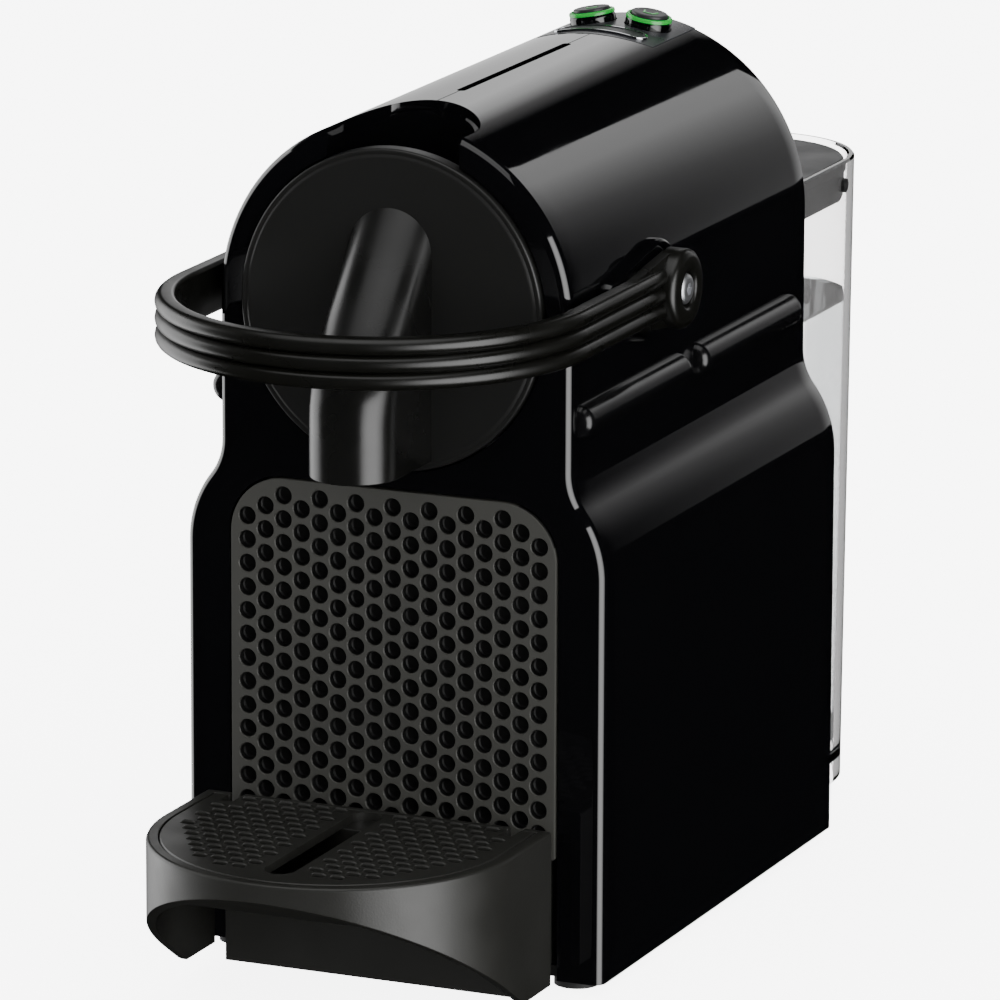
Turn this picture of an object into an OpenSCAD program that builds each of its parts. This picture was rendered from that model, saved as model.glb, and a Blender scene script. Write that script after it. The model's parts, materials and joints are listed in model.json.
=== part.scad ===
// Pod coffee machine: two glossy side covers around a brewing head, a bail lever, a clear water
// tank behind and a slide-out capsule and drip unit in front.
// X is the width, Y runs from the front to the back, Z is up. The machine stands on Z = 0 and is
// centred in X and Y. Inside the modules Y = 0 is the front edge of the side covers.

/* [Body] */
// Width of the body over its lower half
lower_w = 118; // [112:1:126]
// Width of the body over its upper half, the diameter of the barrel
upper_w = 99; // [96:1:102]
// Height of the barrel's centre line
barrel_z = 176.5; // [172:0.5:186]
// Depth of the side covers
cover_depth = 162.5; // [158:0.5:190]
// Wall of the side covers
cover_wall = 2.5; // [1.8:0.1:2.6]
// Height where the shoulder starts to curve in
shoulder_z = 110; // [100:1:112]
// Radius of the shoulder's outward curve
shoulder_r = 29; // [24:1:32]
// Steepest lean of the shoulder from upright
shoulder_angle = 38; // [34:1:42]
// Gap between the two side covers along the top
seam_gap = 0.3; // [0.1:0.1:0.5]
// Height of the feet
foot_h = 3; // [2:0.5:6]
// Radius of a foot
foot_r = 6; // [4:0.5:7]
// Thickness of the base plate
base_t = 3; // [2:0.5:3]

/* [Brewing head] */
// Radius of the round front disc
disc_r = 42.2; // [38:0.2:44]
// How far the disc stands out of the front
disc_proud = 2; // [1:0.5:3]
// Half width of the capsule slot in the top
slot_r = 18.5; // [17:0.5:19]
// Distance from the front to the centre of the slot's round end
slot_y = 9.5; // [8:0.5:12]
// Half width of the coffee outlet hood
hood_r = 11.5; // [10:0.5:13]
// How far the hood reaches in front of the covers
hood_reach = 35; // [28:1:38]
// Height of the hood's lower edge
hood_bottom = 138; // [136:1:142]
// Height of the hood's top
hood_top = 203.5; // [196:0.5:208]
// Height of the capsule's centre line
brew_z = 165; // [164:0.5:166]
// Outer radius of the moving capsule cage
cage_r = 17; // [16:0.5:17]
// Wall of the capsule cage
cage_wall = 2.3; // [1.5:0.1:3]

/* [Lever] */
// Distance from the front to the lever's pivot
pivot_y = 54; // [50:1:60]
// Width over the lever's two hubs, the widest part of the machine
hub_w = 120; // [118:1:130]
// Radius of a hub
hub_r = 10.5; // [9:0.5:12]
// Outer radius of the lever's round front
bail_r = 57.5; // [56:0.5:58]
// Distance from the front to the centre of the round front, in front of the covers
bail_y = 8; // [4:1:14]
// Height of the lever's band
bail_h = 13.4; // [12:0.2:15]
// Thickness of the lever's band
bail_t = 5.4; // [4.5:0.1:5.6]
// Radius of the crank that drives the capsule cage
crank_r = 14; // [12:0.5:14]
// How far the lever lifts
lever_travel = 100; // [80:1:100]
// Angle of the crank pin above the forward direction when the lever is down
crank_start = 30; // [25:1:40]
// Radius of the lever's stub shafts
shaft_r = 5; // [4:0.25:5.5]

/* [Capsule and drip unit] */
// Half width of the honeycomb front
panel_half_w = 46; // [43:0.5:46.5]
// Height of the honeycomb front's top edge
panel_top = 129; // [120:1:130]
// Radius of its upper corners
panel_corner = 15; // [10:1:18]
// How far the honeycomb front stands out
panel_proud = 0.5; // [0.5:0.5:3]
// Thickness of the honeycomb front
panel_t = 3.5; // [3:0.5:5]
// Diameter of one dimple
cell_d = 4.8; // [4:0.1:5]
// Distance between dimple columns
cell_x = 5.15; // [5.05:0.05:6]
// Distance between dimples in one column
cell_z = 6.35; // [6:0.05:7]
// Depth of the container behind the honeycomb front
bin_depth = 93; // [80:1:94]
// Radius of the tray's round front
tray_r = 49; // [48:0.5:52]
// How far the tray reaches in front of the covers
tray_reach = 83.5; // [76:0.5:96]
// Gap between the honeycomb front and the tray's rear edge
tray_gap = 9.1; // [7:0.1:10]
// Height of the tray's top
tray_top = 46; // [44:0.5:50]
// Wall of the tray's skirt
skirt_wall = 2.5; // [2:0.1:3]
// Height of the skirt's lowest edge
skirt_low = 4.5; // [4:0.5:8]
// Half width of the drip base below the tray
plinth_half_w = 41; // [36:0.5:41.5]
// How far the drip base stands out below the tray
plinth_reach = 15; // [13:0.5:17]

/* [Water tank] */
// Width of the tank
tank_w = 90; // [88:1:96]
// Distance from the front to the tank's back at its top
tank_back = 235; // [225:0.5:265]
// Height of the tank's rim
tank_top = 181; // [150:1:200]
// Radius of the tank's rear corners
tank_corner = 30; // [27:1:33]
// Wall of the tank
tank_wall = 2; // [1.5:0.1:2.5]
// How much narrower the tank's back is at its foot
tank_taper = 4.5; // [0:0.5:6]

/* [Controls] */
// Half width of the control panel
control_half_w = 17; // [16:0.5:20]
// Length of the control panel
control_l = 33.7; // [32:0.1:40]
// Radius of a button's cap
button_r = 5; // [4:0.1:5.2]
// Radius of the light ring around a button
ring_r = 6.3; // [6.2:0.1:6.6]
// Distance of each button from the middle
button_x = 8; // [7:0.1:9]
// Height of a button above the panel
button_proud = 3.6; // [3:0.1:4]
// Travel of a button
button_travel = 1.5; // [1:0.1:1.8]

/* [Hidden] */
$fn = 96;
// clearances: running fit on a shaft, loose fit between parts that slide past each other,
// and the small assembly gap between fixed parts
run = 0.06;
loose = 0.4;
gap = 0.2;

half_low = lower_w / 2;
half_up = upper_w / 2;
cover_low = foot_h;
back_y = cover_depth;
// tank, tray and the middle of the whole machine
tank_front = back_y + 0.8;
mid_y = (tank_back - tray_reach) / 2;
tray_cy = tray_r - tray_reach;
// shoulder: an outward arc and an inward arc that meet at the steepest lean
shoulder_cx = half_low - shoulder_r;
shoulder_in_r = (half_low - half_up) / (1 - cos(shoulder_angle)) - shoulder_r;
shoulder_top = shoulder_z + (shoulder_r + shoulder_in_r) * sin(shoulder_angle);
// front flange of the covers
fascia_t = 3;
fascia_back = fascia_t;
disc_gap = 0.3;
// inner chassis: a shelf under the brewing head, side walls and a bulkhead
shelf_t = 3;
shelf_top = 145;
shelf_low = shelf_top - shelf_t;
bulkhead_y = bin_depth + 7;
base_top = cover_low + base_t;
guide_x = panel_half_w + 1.2;
guide_t = 2;
rear_y = back_y - 4.5;
rear_t = 3;
guide_top = panel_top - 2;
// inner works behind the bulkhead
works_y = bulkhead_y + 28;
pump_x = -28;
pump_z = 44;
heater_x = 26;
meter_x = 26;
meter_z = 22;
hose_r = 2.8;
duct_z = cover_low + 3.4;
gland_x = 44;
gland_z = 24;
// brewing frame
frame_in = 24;
frame_t = 3;
frame_front = fascia_back + disc_gap;
plate_t = 4;
frame_back = 94;
frame_top = barrel_z + 22;
cage_front = 12;
cage_l = 28;
guide_rod_r = 2.5;
guide_rod_x = 20.4;
guide_rod_z = shelf_top + 6;
saddle_y = cage_front + 14;
// lever
shaft_end = hub_w / 2 - 3;
hub_in = half_up + 3.4;
bush_r = shaft_r + 2;
crank_in = cage_r + 2;
crank_t = 3.4;
pin_r = 3;
pin_in = cage_r - 3.4;
pin_y = pivot_y - crank_r * cos(crank_start);
pin_z = barrel_z + crank_r * sin(crank_start);
cage_travel = crank_r * (cos(crank_start) - cos(crank_start + lever_travel));
yoke_slack = 1.5;
screw_r = 3.5;
foot_x = half_low - foot_r - 5;
foot_ys = [10, cover_depth - 12];
// capsule and drip unit
panel_y = -panel_proud;
bin_half_w = panel_half_w - 2.2;
bin_low = tray_top + 0.5;
bin_top = panel_top - 4;
bin_wall = 1.8;
sump_low = base_top + 0.5;
plinth_low = 2;
ear_r = 3.2;
ear_t = 3;
hinge_pin_r = 2;
boss_r = 4;
tray_rear = -panel_proud - tray_gap;
hinge_y = tray_rear - 4.6;
hinge_z = tray_top - 5.5;
plinth_top = hinge_z - 5;
panel_low = plinth_top + 0.3;
deck_t = 4;
bowl_low = tray_top - 12;
grid_t = 2.2;
grid_inset = 3.2;
grid_rear = tray_rear - 2;
grid_slot_r = 4;
skirt_slope = 0.64;
skirt_lip = 5;
// tank
tank_low = cover_low + 1;
floor_z = cover_low + 7;
floor_t = 2;
tank_lean = atan(tank_taper / (tank_top - tank_low));
valve_y = 190;
neck_r = 6.3;
neck_h = 6;
spigot_r = 5.9;
lid_t = 3;
lid_top = tank_top - 1;
lid_pin_y = 205;
lid_pin_z = lid_top - 6;
lid_pin_r = 2;
lid_half_w = tank_w / 2 - tank_wall - 1;
// controls
control_front = back_y - control_l;
panel_thick = 2.6;
cap_low = button_proud - 1.2;
web_top = cap_low - button_travel - 0.1;
web_low = web_top - 1.2;
cup_low = web_low - 9.6;
button_tilt = asin(button_x / half_up);
button_y = back_y - 12.5;

// ---------- helpers ----------

// Moves a part from the front-edge frame to the machine's own frame.
module placed() { translate([0, -mid_y, 0]) children(); }

// A straight-sided block from three pairs of limits.
module block(x, y, z) {
    translate([x[0], y[0], z[0]]) cube([x[1] - x[0], y[1] - y[0], z[1] - z[0]]);
}

// Extrudes an outline drawn in X and Z along Y.
module along_y(y0, len) { translate([0, y0 + len, 0]) rotate([90, 0, 0]) linear_extrude(len) children(); }

// Extrudes an outline drawn in Y and Z along X.
module along_x(x0, len) { translate([x0, 0, 0]) rotate([90, 0, 90]) linear_extrude(len) children(); }

// A round bar along X or along Y.
module rod_x(y, z, r, x0, len) { translate([x0, y, z]) rotate([0, 90, 0]) cylinder(r = r, h = len); }
module rod_y(x, z, r, y0, len) { translate([x, y0 + len, z]) rotate([90, 0, 0]) cylinder(r = r, h = len); }

// Repeats a part on the other side of the machine.
module both_sides() {
    children();
    mirror([1, 0, 0]) children();
}

// A bent tube through a list of points, with round corners.
module pipe_run(points, r) {
    for (i = [0 : len(points) - 2]) {
        step = points[i + 1] - points[i];
        translate(points[i]) rotate([0, acos(step.z / norm(step)), atan2(step.y, step.x)])
            cylinder(r = r, h = norm(step));
    }
    for (i = [1 : 1 : len(points) - 2]) translate(points[i]) sphere(r = r);
}

// A coil of round rings that stands for a spring on the Z axis.
module coil(r, wire_r, height, turns) {
    pitch = (height - 2 * wire_r) / (turns - 1);
    for (i = [0 : turns - 1]) translate([0, 0, wire_r + i * pitch])
        rotate_extrude() translate([r, 0]) circle(r = wire_r, $fn = 24);
    for (s = [-1, 1]) translate([s * r, 0, wire_r]) cylinder(r = wire_r * 0.7, h = height - 2 * wire_r, $fn = 24);
}

// Points on an arc from angle a0 to a1, leaving out its first point.
function arc_points(cx, cz, r, a0, a1, n) =
    [for (i = [1 : n]) let (a = a0 + (a1 - a0) * i / n) [cx + r * cos(a), cz + r * sin(a)]];

// Front view of the body: barrel, shoulder and straight lower half. A larger inset gives the
// inside of the wall, and low is the lowest edge.
module body_outline(inset, low) {
    side = concat(
        [[half_low - inset, low], [half_low - inset, shoulder_z]],
        arc_points(shoulder_cx, shoulder_z, shoulder_r - inset, 0, shoulder_angle, 10),
        arc_points(half_up + shoulder_in_r, shoulder_top, shoulder_in_r + inset, 180 + shoulder_angle, 180, 8),
        [[half_up - inset, barrel_z]]);
    translate([0, barrel_z]) circle(r = half_up - inset);
    polygon(concat(side, [for (i = [len(side) - 1 : -1 : 0]) [-side[i].x, side[i].y]]));
}

// Plan of the capsule slot: round at the back and straight to the front.
module slot_plan(r, front) {
    intersection() {
        translate([0, slot_y]) circle(r = r);
        translate([-r, front]) square([2 * r, slot_y + r]);
    }
    translate([-r, front]) square([2 * r, slot_y - front]);
}

// ---------- housing ----------

module base_plate() {
    color("#1a1a1a") placed() difference() {
        union() {
            block([-half_low + cover_wall + gap, half_low - cover_wall - gap],
                  [panel_y + panel_t + 0.6, rear_y], [cover_low, base_top]);
            block([meter_x - 10, meter_x + 10], [works_y - 10, works_y + 10], [base_top, meter_z]);
        }
        block([-6, 6], [rear_y - 11, rear_y + 1], [0, 20]);
        for (x = [-foot_x, foot_x], y = foot_ys) translate([x, y, 0]) cylinder(r = 2.5, h = 20);
    }
}
module rubber_feet() {
    color("#2b2b2b") placed() for (x = [-foot_x, foot_x], y = foot_ys) translate([x, y, 0]) {
        cylinder(r = foot_r, h = foot_h);
        cylinder(r = 2.5, h = foot_h + base_t);
    }
}

// One half-round grip rib on the upper side of a cover.
module grip(y0, y1) { rod_y(half_up - 0.2, 150.6, 4.4, y0, y1 - y0); }

module side_cover() {
    difference() {
        union() {
            difference() {
                along_y(0, cover_depth) body_outline(0, cover_low);
                along_y(-1, cover_depth + 2) body_outline(cover_wall, -1);
            }
            along_y(0, fascia_t) difference() {
                body_outline(cover_wall - 0.5, base_top + gap);
                translate([0, barrel_z]) circle(r = disc_r + disc_gap);
                panel_outline(-0.5);
                translate([-panel_half_w - 0.5, 0]) square([2 * panel_half_w + 1, tray_top + 2]);
            }
            intersection() {
                union() {
                    grip(3.5, 73.5);
                    grip(82, 152);
                }
                block([half_up - 1, half_low], [0, cover_depth], [100, 200]);
            }
            rod_x(pivot_y, barrel_z, hub_r + 2, half_up - 1.9, 4.1);
        }
        block([-half_low - 1, seam_gap / 2], [-1, cover_depth + 1], [-1, 300]);
        rod_x(pivot_y, barrel_z, shaft_r + loose, 0, 80);
        translate([0, 0, barrel_z + 20]) linear_extrude(40) slot_plan(slot_r, -1);
        block([-1, 1.2], [42, 114], [barrel_z + 20, barrel_z + 60]);
        translate([0, 0, barrel_z + 20]) linear_extrude(40) control_plan(0);
    }
}

module left_side_cover() { color("#0a0a0c") placed() mirror([1, 0, 0]) side_cover(); }
module right_side_cover() { color("#0a0a0c") placed() side_cover(); }

module panel_outline(inset) {
    hw = panel_half_w - inset;
    top = panel_top - inset;
    translate([-hw, panel_low]) square([2 * hw, top - panel_corner - panel_low]);
    translate([-hw + panel_corner, panel_low]) square([2 * (hw - panel_corner), top - panel_low]);
    for (s = [-1, 1]) translate([s * (hw - panel_corner), top - panel_corner]) circle(r = panel_corner);
}

module lever_stops() {
    color("silver") placed() both_sides()
        rod_x(pivot_y - 16, barrel_z - bail_h / 2 - 3.3, 1.6, half_up, 5);
}

// ---------- brewing head ----------

module brewing_head_disc() {
    color("#20201f") placed() difference() {
        union() {
            rod_y(0, barrel_z, disc_r, -disc_proud + 1, disc_proud + fascia_back - 1);
            translate([0, 1 - disc_proud, barrel_z]) rotate([90, 0, 0]) cylinder(r1 = disc_r, r2 = disc_r - 1, h = 1);
        }
        rod_y(0, brew_z, 4, -20, 40);
    }
}

// Outer form of the hood: an upright round-fronted spout that leans back to an arch on the disc.
module hood_form(inset) {
    r = hood_r - inset;
    hull() {
        translate([0, -(hood_reach - hood_r), hood_bottom]) cylinder(r = r, h = 26 - inset, $fn = 48);
        translate([0, -disc_proud, hood_top - hood_r]) rotate([90, 0, 0]) cylinder(r = r, h = 1, $fn = 48);
        block([-r, r], [-disc_proud - 1, -disc_proud], [hood_bottom, hood_bottom + 1]);
    }
}

module coffee_outlet_hood() {
    color("#1c1c1b") placed() difference() {
        hood_form(0);
        translate([0, 0, -1]) hood_form(2);
    }
}

module outlet_nozzle() {
    color("#151515") placed() difference() {
        union() {
            rod_y(0, brew_z, 3.9, -8, 8 + frame_front + plate_t);
            block([-8, 8], [-27.5, -disc_proud], [brew_z - 9, brew_z - 3.2]);
            translate([0, -(hood_reach - hood_r), hood_bottom + 3]) cylinder(r = 6, h = brew_z - 9 - hood_bottom - 3);
        }
        translate([0, -(hood_reach - hood_r), hood_bottom]) cylinder(r = 3.5, h = 22);
        block([-5, 5], [-26, -4], [brew_z - 7, brew_z]);
        rod_y(0, brew_z, 2, -10, 40);
    }
}

module capsule_chute() {
    color("#141414") placed() intersection() {
        translate([0, 0, frame_top + gap]) difference() {
            linear_extrude(40) slot_plan(slot_r + 1.5, fascia_back + gap);
            translate([0, 0, -1]) linear_extrude(42) slot_plan(slot_r - 1.5, 0);
        }
        rod_y(0, barrel_z, half_up - cover_wall, 0, 60);
    }
}

module brewing_frame() {
    color("#3a3a3c") placed() difference() {
        union() {
            block([-frame_in - frame_t, frame_in + frame_t], [frame_front, frame_front + plate_t],
                  [shelf_top, frame_top]);
            both_sides() block([frame_in, frame_in + frame_t], [frame_front, frame_back], [shelf_top, frame_top]);
            block([-frame_in - frame_t, frame_in + frame_t], [frame_back - frame_t, frame_back],
                  [shelf_top, frame_top]);
        }
        both_sides() {
            rod_x(pivot_y, barrel_z, bush_r, frame_in - 1, frame_t + 2);
            rod_y(guide_rod_x, guide_rod_z, guide_rod_r, frame_front + 1, frame_back);
        }
        rod_y(0, brew_z, 4, 0, 20);
        rod_y(0, brew_z, 4, frame_back - 10, 20);
        block([-slot_r + 1.5, slot_r - 1.5], [fascia_back, frame_front + plate_t + 1], [frame_top - 6, 300]);
    }
}

module extraction_plate() {
    color("silver") placed() difference() {
        rod_y(0, brew_z, 15, frame_front + plate_t, 1.4);
        for (x = [-8 : 4 : 8], z = [-8 : 4 : 8]) rod_y(x, brew_z + z, 0.6, 0, 20);
    }
}

module guide_rods() {
    color("silver") placed() both_sides()
        rod_y(guide_rod_x, guide_rod_z, guide_rod_r, frame_front + 1, frame_back - frame_front - 1);
}

module lever_bushes() {
    color("goldenrod") placed() both_sides() difference() {
        rod_x(pivot_y, barrel_z, bush_r, frame_in, frame_t);
        rod_x(pivot_y, barrel_z, shaft_r + run, frame_in - 1, frame_t + 2);
    }
}

module capsule_cage() {
    color("#505052") placed() difference() {
        union() {
            rod_y(0, brew_z, cage_r, cage_front, cage_l);
            block([-guide_rod_x - 3.2, guide_rod_x + 3.2], [saddle_y, cage_front + cage_l],
                  [guide_rod_z - 4.4, guide_rod_z + 4.4]);
            both_sides() block([pin_in - 0.5, cage_r], [pin_y - 8, pin_y + 8], [brew_z, pin_z + 16]);
        }
        rod_y(0, brew_z, cage_r - cage_wall, cage_front - 1, cage_l - 5);
        both_sides() {
            rod_y(guide_rod_x, guide_rod_z, guide_rod_r + run, 0, 80);
            block([pin_in - 2, cage_r + 1], [pin_y - pin_r - yoke_slack, pin_y + pin_r + yoke_slack],
                  [pin_z - pin_r - 1, barrel_z + crank_r + pin_r + 1]);
        }
        rod_y(0, brew_z, 2.5, 0, 80);
    }
}

// ---------- lever ----------

// Section of the lever's band: a flat strip with three round ribs on its outside.
module band_section() {
    rib = bail_h / 6;
    translate([bail_r - bail_t, -bail_h / 2]) square([bail_t - rib, bail_h]);
    for (i = [-1 : 1]) translate([bail_r - rib, i * 2 * rib]) circle(r = rib, $fn = 32);
}

module lever_bail() {
    flare_y = pivot_y - 28;
    color("#0e0e0b") placed() difference() {
        union() {
            translate([0, -bail_y, barrel_z]) rotate([0, 0, 180]) rotate_extrude(angle = 180) band_section();
            both_sides() {
                translate([0, 0, barrel_z]) along_y(-bail_y, pivot_y + bail_y - 4) band_section();
                rod_x(pivot_y, barrel_z, hub_r, hub_in, hub_w / 2 - hub_in);
                along_x(hub_in, 2.6) polygon([[flare_y, barrel_z - bail_h / 2], [flare_y, barrel_z + bail_h / 2],
                    [pivot_y - 3, barrel_z + hub_r - 0.6], [pivot_y - 3, barrel_z - hub_r + 0.6]]);
            }
        }
        both_sides() {
            rod_x(pivot_y, barrel_z, shaft_r, 0, shaft_end);
            rod_x(pivot_y, barrel_z, screw_r + 1, shaft_end, 10);
        }
    }
}

module lever_shafts() {
    color("gray") placed() both_sides() difference() {
        rod_x(pivot_y, barrel_z, shaft_r, crank_in + crank_t, shaft_end - crank_in - crank_t);
        rod_x(pivot_y, barrel_z, 1.5, shaft_end - 12, 20);
    }
}

module lever_cranks() {
    color("#6a6a6c") placed() both_sides() {
        along_x(crank_in, crank_t) {
            translate([pivot_y, barrel_z]) circle(r = shaft_r + 1);
            translate([pin_y, pin_z]) circle(r = pin_r + 1.2);
            translate([pivot_y, barrel_z]) rotate(180 - crank_start) translate([0, -3]) square([crank_r, 6]);
        }
        rod_x(pin_y, pin_z, pin_r, pin_in, crank_in - pin_in);
    }
}

module lever_screws() {
    color("silver") placed() both_sides() difference() {
        union() {
            rod_x(pivot_y, barrel_z, screw_r, shaft_end, 2.2);
            rod_x(pivot_y, barrel_z, 1.5, shaft_end - 10, 11);
        }
        translate([shaft_end + 1, pivot_y, barrel_z]) rotate([0, 90, 0]) cylinder(r = 1.8, h = 4, $fn = 6);
    }
}

// ---------- controls ----------

// Plan of the control panel, with its bowed front edge.
module control_plan(inset) {
    bow_r = control_half_w * 2.75;
    intersection() {
        translate([inset - control_half_w, control_front])
            square([2 * (control_half_w - inset), control_l + 1]);
        translate([0, control_front + inset + bow_r]) circle(r = bow_r);
    }
}

module control_panel() {
    color("#2c2d30") placed() difference() {
        intersection() {
            union() {
                linear_extrude(300) control_plan(gap);
                intersection() {
                    block([-control_half_w - 3, control_half_w + 3], [control_front - 3, rear_y - gap], [0, 300]);
                    rod_y(0, barrel_z, half_up - cover_wall, 0, 300);
                }
            }
            rod_y(0, barrel_z, half_up + 0.1, 0, cover_depth);
            block([-60, 60], [0, cover_depth], [barrel_z + 20, 300]);
        }
        rod_y(0, barrel_z, half_up - cover_wall - 1.6, 0, 300);
        block([-60, 60], [rear_y - gap, 300], [0, barrel_z + half_up - cover_wall - 0.4]);
        for (s = [-1, 1]) on_barrel(s, -10) cylinder(r = ring_r + gap, h = 30);
    }
}

// Places a part on the barrel's surface where one of the buttons stands, leaning outwards.
module on_barrel(side, up) {
    translate([0, button_y, barrel_z]) rotate([0, side * button_tilt, 0]) translate([0, 0, half_up + up])
        children();
}

module name_badge() {
    color("#b8babd") placed() intersection() {
        translate([0, control_front + 9, barrel_z]) linear_extrude(80) {
            square([14, 5], center = true);
            for (s = [-1, 1]) translate([s * 7, 0]) circle(r = 2.5);
        }
        difference() {
            rod_y(0, barrel_z, half_up + 0.6, 0, 300);
            rod_y(0, barrel_z, half_up + 0.1, -1, 302);
        }
    }
}

// Heights in a button are measured from the barrel's surface.
module button_cap(side) {
    placed() on_barrel(side, 0) {
        translate([0, 0, cap_low]) cylinder(r = button_r, h = 1.4);
        translate([0, 0, web_low - 1]) cylinder(r = 2, h = cap_low - web_low + 1);
        translate([0, 0, web_low - 1]) cylinder(r = 3.2, h = 1);
    }
}

module light_ring(side) {
    placed() on_barrel(side, 0) difference() {
        translate([0, 0, cup_low]) cylinder(r = ring_r, h = button_proud - 0.6 - cup_low);
        translate([0, 0, web_top]) cylinder(r = button_r + 0.2, h = 10);
        translate([0, 0, web_low - 1]) cylinder(r = 2 + run, h = 10);
        translate([0, 0, cup_low + 1]) cylinder(r = 4.6, h = web_low - cup_low - 1);
    }
}

module button_spring(side) {
    placed() on_barrel(side, cup_low + 1) coil(3.4, 0.4, web_low - cup_low - 2, 5);
}

module espresso_button() { color("#17181a") button_cap(-1); }
module espresso_light_ring() { color("#12a83a") light_ring(-1); }
module espresso_spring() { color("silver") button_spring(-1); }
module lungo_button() { color("#17181a") button_cap(1); }
module lungo_light_ring() { color("#12a83a") light_ring(1); }
module lungo_spring() { color("silver") button_spring(1); }

// ---------- inner works ----------

module chassis() {
    inner_w = half_up - cover_wall - 1;
    front = fascia_back + gap;
    color("#4a4a4a") placed() difference() {
        union() {
            block([-inner_w, inner_w], [front, bulkhead_y + guide_t], [shelf_low, shelf_top]);
            both_sides() {
                block([guide_x, guide_x + guide_t], [front, bulkhead_y], [base_top, guide_top]);
                block([inner_w - guide_t, guide_x + guide_t], [front, bulkhead_y], [guide_top - guide_t, guide_top]);
                block([inner_w - guide_t, inner_w], [front, bulkhead_y], [guide_top - guide_t, shelf_low]);
            }
            block([-guide_x - guide_t, guide_x + guide_t], [bulkhead_y, bulkhead_y + guide_t],
                  [base_top, guide_top]);
            block([-inner_w, inner_w], [bulkhead_y, bulkhead_y + guide_t], [guide_top, shelf_low]);
            block([8 - inner_w, inner_w - 8], [bulkhead_y, rear_y - gap], [shelf_low, shelf_top]);
            block([heater_x - 16, heater_x + 16], [bulkhead_y, works_y - 22], [70, 110]);
        }
        block([-19, 19], [frame_front + plate_t + 1, frame_front + plate_t + 26], [100, 200]);
        translate([0, bulkhead_y + 12, 100]) cylinder(r = 4, h = 100);
    }
}

module pump() {
    color("#c9a227") placed() translate([pump_x, works_y, 0]) {
        block([-17, 17], [-17, 17], [pump_z, pump_z + 40]);
        translate([0, 0, pump_z - 10]) cylinder(r = 11, h = 10);
        translate([0, 0, pump_z - 22]) cylinder(r = 7, h = 12);
        translate([0, 0, pump_z + 40]) cylinder(r = 9, h = 16);
        translate([0, 0, pump_z + 56]) cylinder(r = 4, h = 10);
    }
}

module pump_mounts() {
    color("#222222") placed() translate([pump_x, works_y, 0]) difference() {
        translate([0, 0, base_top]) cylinder(r = 14.5, h = pump_z - base_top);
        translate([0, 0, base_top - 1]) cylinder(r = 11.5, h = 60);
        block([0, 20], [-7, 7], [base_top - 1, base_top + 14]);
    }
}

module heater() {
    color("#9a9a9e") placed() translate([heater_x, works_y, 0]) {
        difference() {
            union() {
                translate([0, 0, 62]) cylinder(r = 22, h = 58);
                block([-22, 22], [-22, -12], [66, 116]);
            }
            translate([0, 0, 60]) cylinder(r = 5, h = 70);
        }
        for (z = [56, 120]) translate([12, 8, z]) cylinder(r = 4, h = 6);
    }
}

module flow_meter() {
    color("#d8d8d8") placed() translate([meter_x, works_y, 0]) {
        translate([0, 0, meter_z]) cylinder(r = 13, h = 14);
        translate([0, 0, meter_z + 14]) cylinder(r = 4, h = 8);
        rod_y(0, meter_z + 7, 4, 12, 8);
    }
}

module circuit_board() {
    color("#1f5c34") placed() {
        block([-36, 36], [rear_y - 14, rear_y - 12.4], [shelf_top, barrel_z + 24]);
        block([-28, -12], [rear_y - 28, rear_y - 14], [shelf_top + 6, shelf_top + 24]);
        block([6, 26], [rear_y - 30, rear_y - 14], [shelf_top + 4, shelf_top + 30]);
    }
}

module suction_hose() {
    y = rear_y - 6;
    color("#e6e6e6") placed() pipe_run([[meter_x, works_y + 20, meter_z + 7], [meter_x, y, meter_z + 7],
        [0, y, meter_z + 7], [0, y, duct_z], [0, rear_y + rear_t, duct_z]], hose_r);
}

module feed_hose() {
    z = base_top + 6;
    color("#dddddd") placed() pipe_run([[pump_x, works_y, pump_z - 22], [pump_x, works_y, z],
        [5, works_y, z], [5, works_y, meter_z + 27], [meter_x, works_y, meter_z + 27],
        [meter_x, works_y, meter_z + 22]], hose_r);
}

module pressure_hose() {
    y = works_y + 18;
    color("#dedede") placed() pipe_run([[pump_x, works_y, pump_z + 66], [pump_x, works_y, 127],
        [0, works_y, 127], [0, y, 127], [0, y, 50], [heater_x + 12, y, 50],
        [heater_x + 12, works_y + 8, 50], [heater_x + 12, works_y + 8, 56]], hose_r);
}

module brewing_hose() {
    x = heater_x + 12;
    y = bulkhead_y + 12;
    color("#e2e2e2") placed() pipe_run([[x, works_y + 8, 126], [x, works_y + 8, 134],
        [x, y, 134], [0, y, 134], [0, y, brew_z], [0, frame_back - 2, brew_z]], hose_r);
}

// ---------- back ----------

module rear_panel() {
    color("#161616") placed() difference() {
        along_y(rear_y, rear_t) body_outline(cover_wall + gap, base_top);
        screw_places() rod_y(0, 0, 1.6, 0, 300);
        rod_y(gland_x, gland_z, 8, 0, 300);
        block([-5, 5], [0, 300], [0, 12]);
    }
}

module screw_places() {
    for (x = [-42, 42], z = [60, 120]) translate([x, 0, z]) children();
    for (x = [-30, 30]) translate([x, 0, barrel_z + 18]) children();
}

module panel_screws() {
    color("silver") placed() screw_places() {
        rod_y(0, 0, 3, rear_y + rear_t, 1.2);
        rod_y(0, 0, 1.5, rear_y - 6, 6 + rear_t);
    }
}

module cable_gland() {
    color("#111111") placed() difference() {
        union() {
            rod_y(gland_x, gland_z, 8, rear_y - 6, 6 + rear_t);
            rod_y(gland_x, gland_z, 9.5, rear_y - 6, 6);
        }
        rod_y(gland_x, gland_z, 3.5, rear_y - 10, 30);
    }
}

module tank_dock() {
    color("#8c8e90") placed() difference() {
        union() {
            block([-36, 36], [rear_y + rear_t + gap, valve_y + 14], [cover_low, floor_z - 0.5]);
            translate([0, valve_y, floor_z - 2]) cylinder(r = spigot_r - 1.6, h = 4.4);
        }
        translate([0, valve_y, cover_low + 2]) cylinder(r = 2.8, h = 20);
        rod_y(0, duct_z, 1.6, 0, valve_y);
    }
}

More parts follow.
